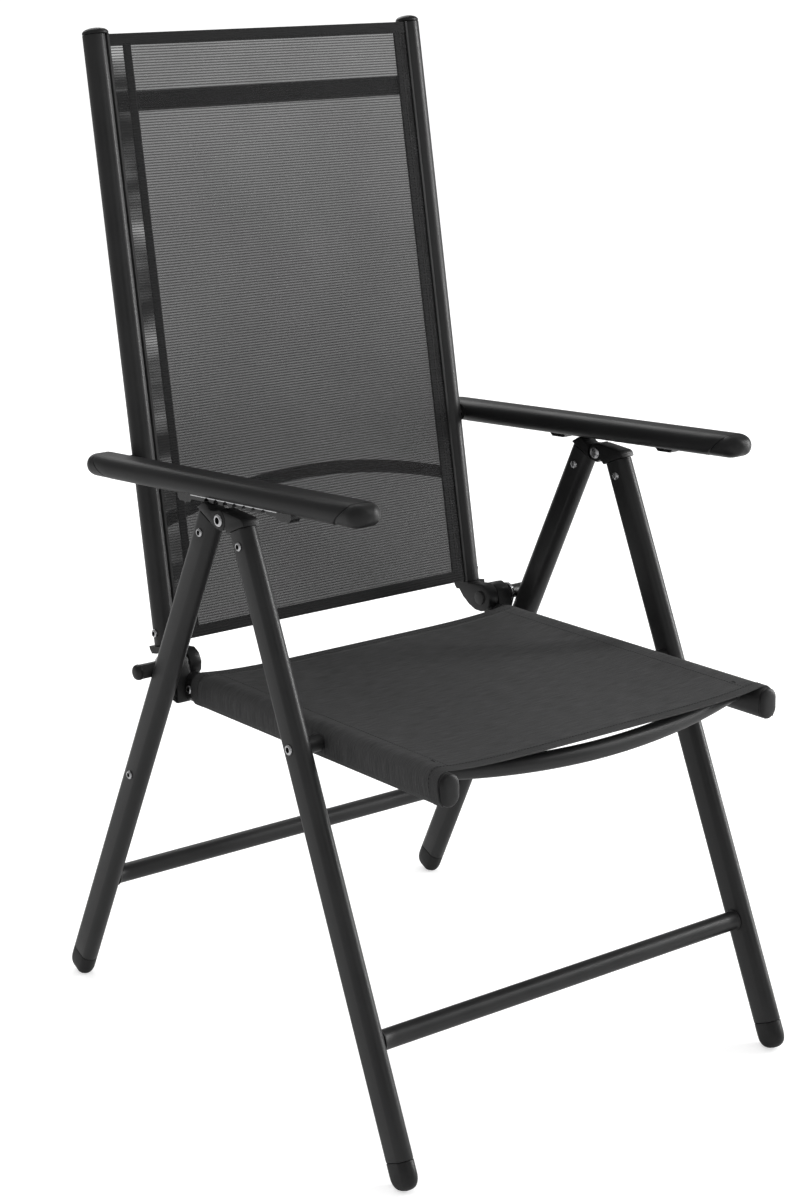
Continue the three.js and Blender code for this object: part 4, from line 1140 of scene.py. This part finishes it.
def hemLines(sling):
    # a line near the inner side of each hem, as places along the sling
    return sling["hem"] - stitch["inset"], sling["length"] - sling["hem"] + stitch["inset"]


low, high = hemLines(backSling)
reachLeft, reachRight = (backSling["strips"][sideName][1] for sideName in ("left", "right"))
backLines = [((-reachLeft, v), (reachRight, v)) for v in (low, high)]
for sideName, (inner, outer) in backSling["strips"].items():
    for u in (inner + stitch["inset"], outer - stitch["inset"]):
        backLines.append(((sides[sideName] * u, low), (sides[sideName] * u, high)))
backStitches = addStitches(
    "back_sling_stitches", backLines, backSpot, backLayers, backSling, "back_frame", "back_mesh",
)
low, high = hemLines(seatSling)
reachU = seatHalf - stitch["seatEnd"]
sideU = seatTube["x"] - stitch["seatSide"]
seatLines = [((-reachU, v), (reachU, v)) for v in (low, high)]
seatLines += [((u, low), (u, high)) for u in (-sideU, sideU)]
seatStitches = addStitches(
    "seat_sling_stitches", seatLines, seatSpot, seatLayers, seatSling, "seat_frame", "seat_mesh",
)

print("stitching done")

# Floor and light
studio = {
    "floor": (0.68, 0.68, 0.68, 1),
    "floorSize": 30,
    "floorLevel": -0.5 * mm,
    "floorRoughness": 0.9,
    "floorSpecular": 0.1,
    "floorGlow": 0.52,
    "above": 1.1,
    "level": 0.42,
    "mirrored": 0.26,
    "lamps": {
        "key": {"place": (-2.8, -1.6, 1.0), "size": (1.4, 1.0), "power": 2},
        "front": {"place": (-0.4, -3.8, 2.0), "size": (1.2, 2.4), "power": 8},
        "side": {"place": (3.2, -1.3, 1.5), "size": (0.6, 2.6), "power": 100},
        "rear": {"place": (0.8, 3.0, 2.8), "size": (2.4, 1.6), "power": 40},
    },
    "aim": (0, 0, 0.45),
}


def addWorld():
    # lit brighter from above, dimmer in reflections, and plain white behind the chair
    world = bpy.data.worlds.new("studio")
    bpy.context.scene.world = world
    world.use_nodes = True
    world.node_tree.nodes.clear()
    graph = Graph(world.node_tree)
    rays = graph.node("ShaderNodeLightPath").outputs
    ways = graph.node("ShaderNodeTexCoord").outputs["Generated"]
    upward = graph.node("ShaderNodeSeparateXYZ", {0: ways}).outputs[2]
    ambient = graph.spread(upward, studio["level"], studio["above"])
    dimmed = graph.math("SUBTRACT", studio["mirrored"], ambient)
    strength = graph.math("ADD", ambient, graph.times(rays["Is Glossy Ray"], dimmed))
    lit = graph.node("ShaderNodeBackground", {"Color": grey(1, 1), "Strength": strength})
    white = graph.node("ShaderNodeBackground", {"Color": grey(1, 1)})
    shares = {0: rays["Is Camera Ray"], 1: lit.outputs[0], 2: white.outputs[0]}
    blend = graph.node("ShaderNodeMixShader", shares)
    graph.node("ShaderNodeOutputWorld", {"Surface": blend.outputs[0]})


def addLamps():
    for name, lamp in studio["lamps"].items():
        data = bpy.data.lights.new(name, "AREA")
        data.shape = "RECTANGLE"
        data.size, data.size_y = lamp["size"]
        data.energy = lamp["power"]
        obj = placed(name, data)
        obj.location = lamp["place"]
        aim = Vector(studio["aim"]) - Vector(lamp["place"])
        obj.rotation_euler = aim.to_track_quat("-Z", "Y").to_euler()


def addFloor():
    build = bmesh.new()
    bmesh.ops.create_grid(build, x_segments=1, y_segments=1, size=studio["floorSize"])
    mesh = bpy.data.meshes.new("floor")
    build.to_mesh(mesh)
    build.free()
    floor = placed("floor", mesh)
    floor.location.z = studio["floorLevel"]
    material, shader, _ = newMaterial("floor")
    graph = Graph(material.node_tree)
    rays = graph.node("ShaderNodeLightPath").outputs
    looks = {
        "Base Color": studio["floor"],
        "Roughness": studio["floorRoughness"],
        "Specular IOR Level": studio["floorSpecular"],
        "Emission Color": grey(1, 1),
        "Emission Strength": graph.times(rays["Is Camera Ray"], studio["floorGlow"]),
    }
    graph.feed(shader, looks)
    floor.data.materials.append(material)


addWorld()
addLamps()
addFloor()
bpy.context.scene.view_settings.view_transform = "Standard"
print("studio done")
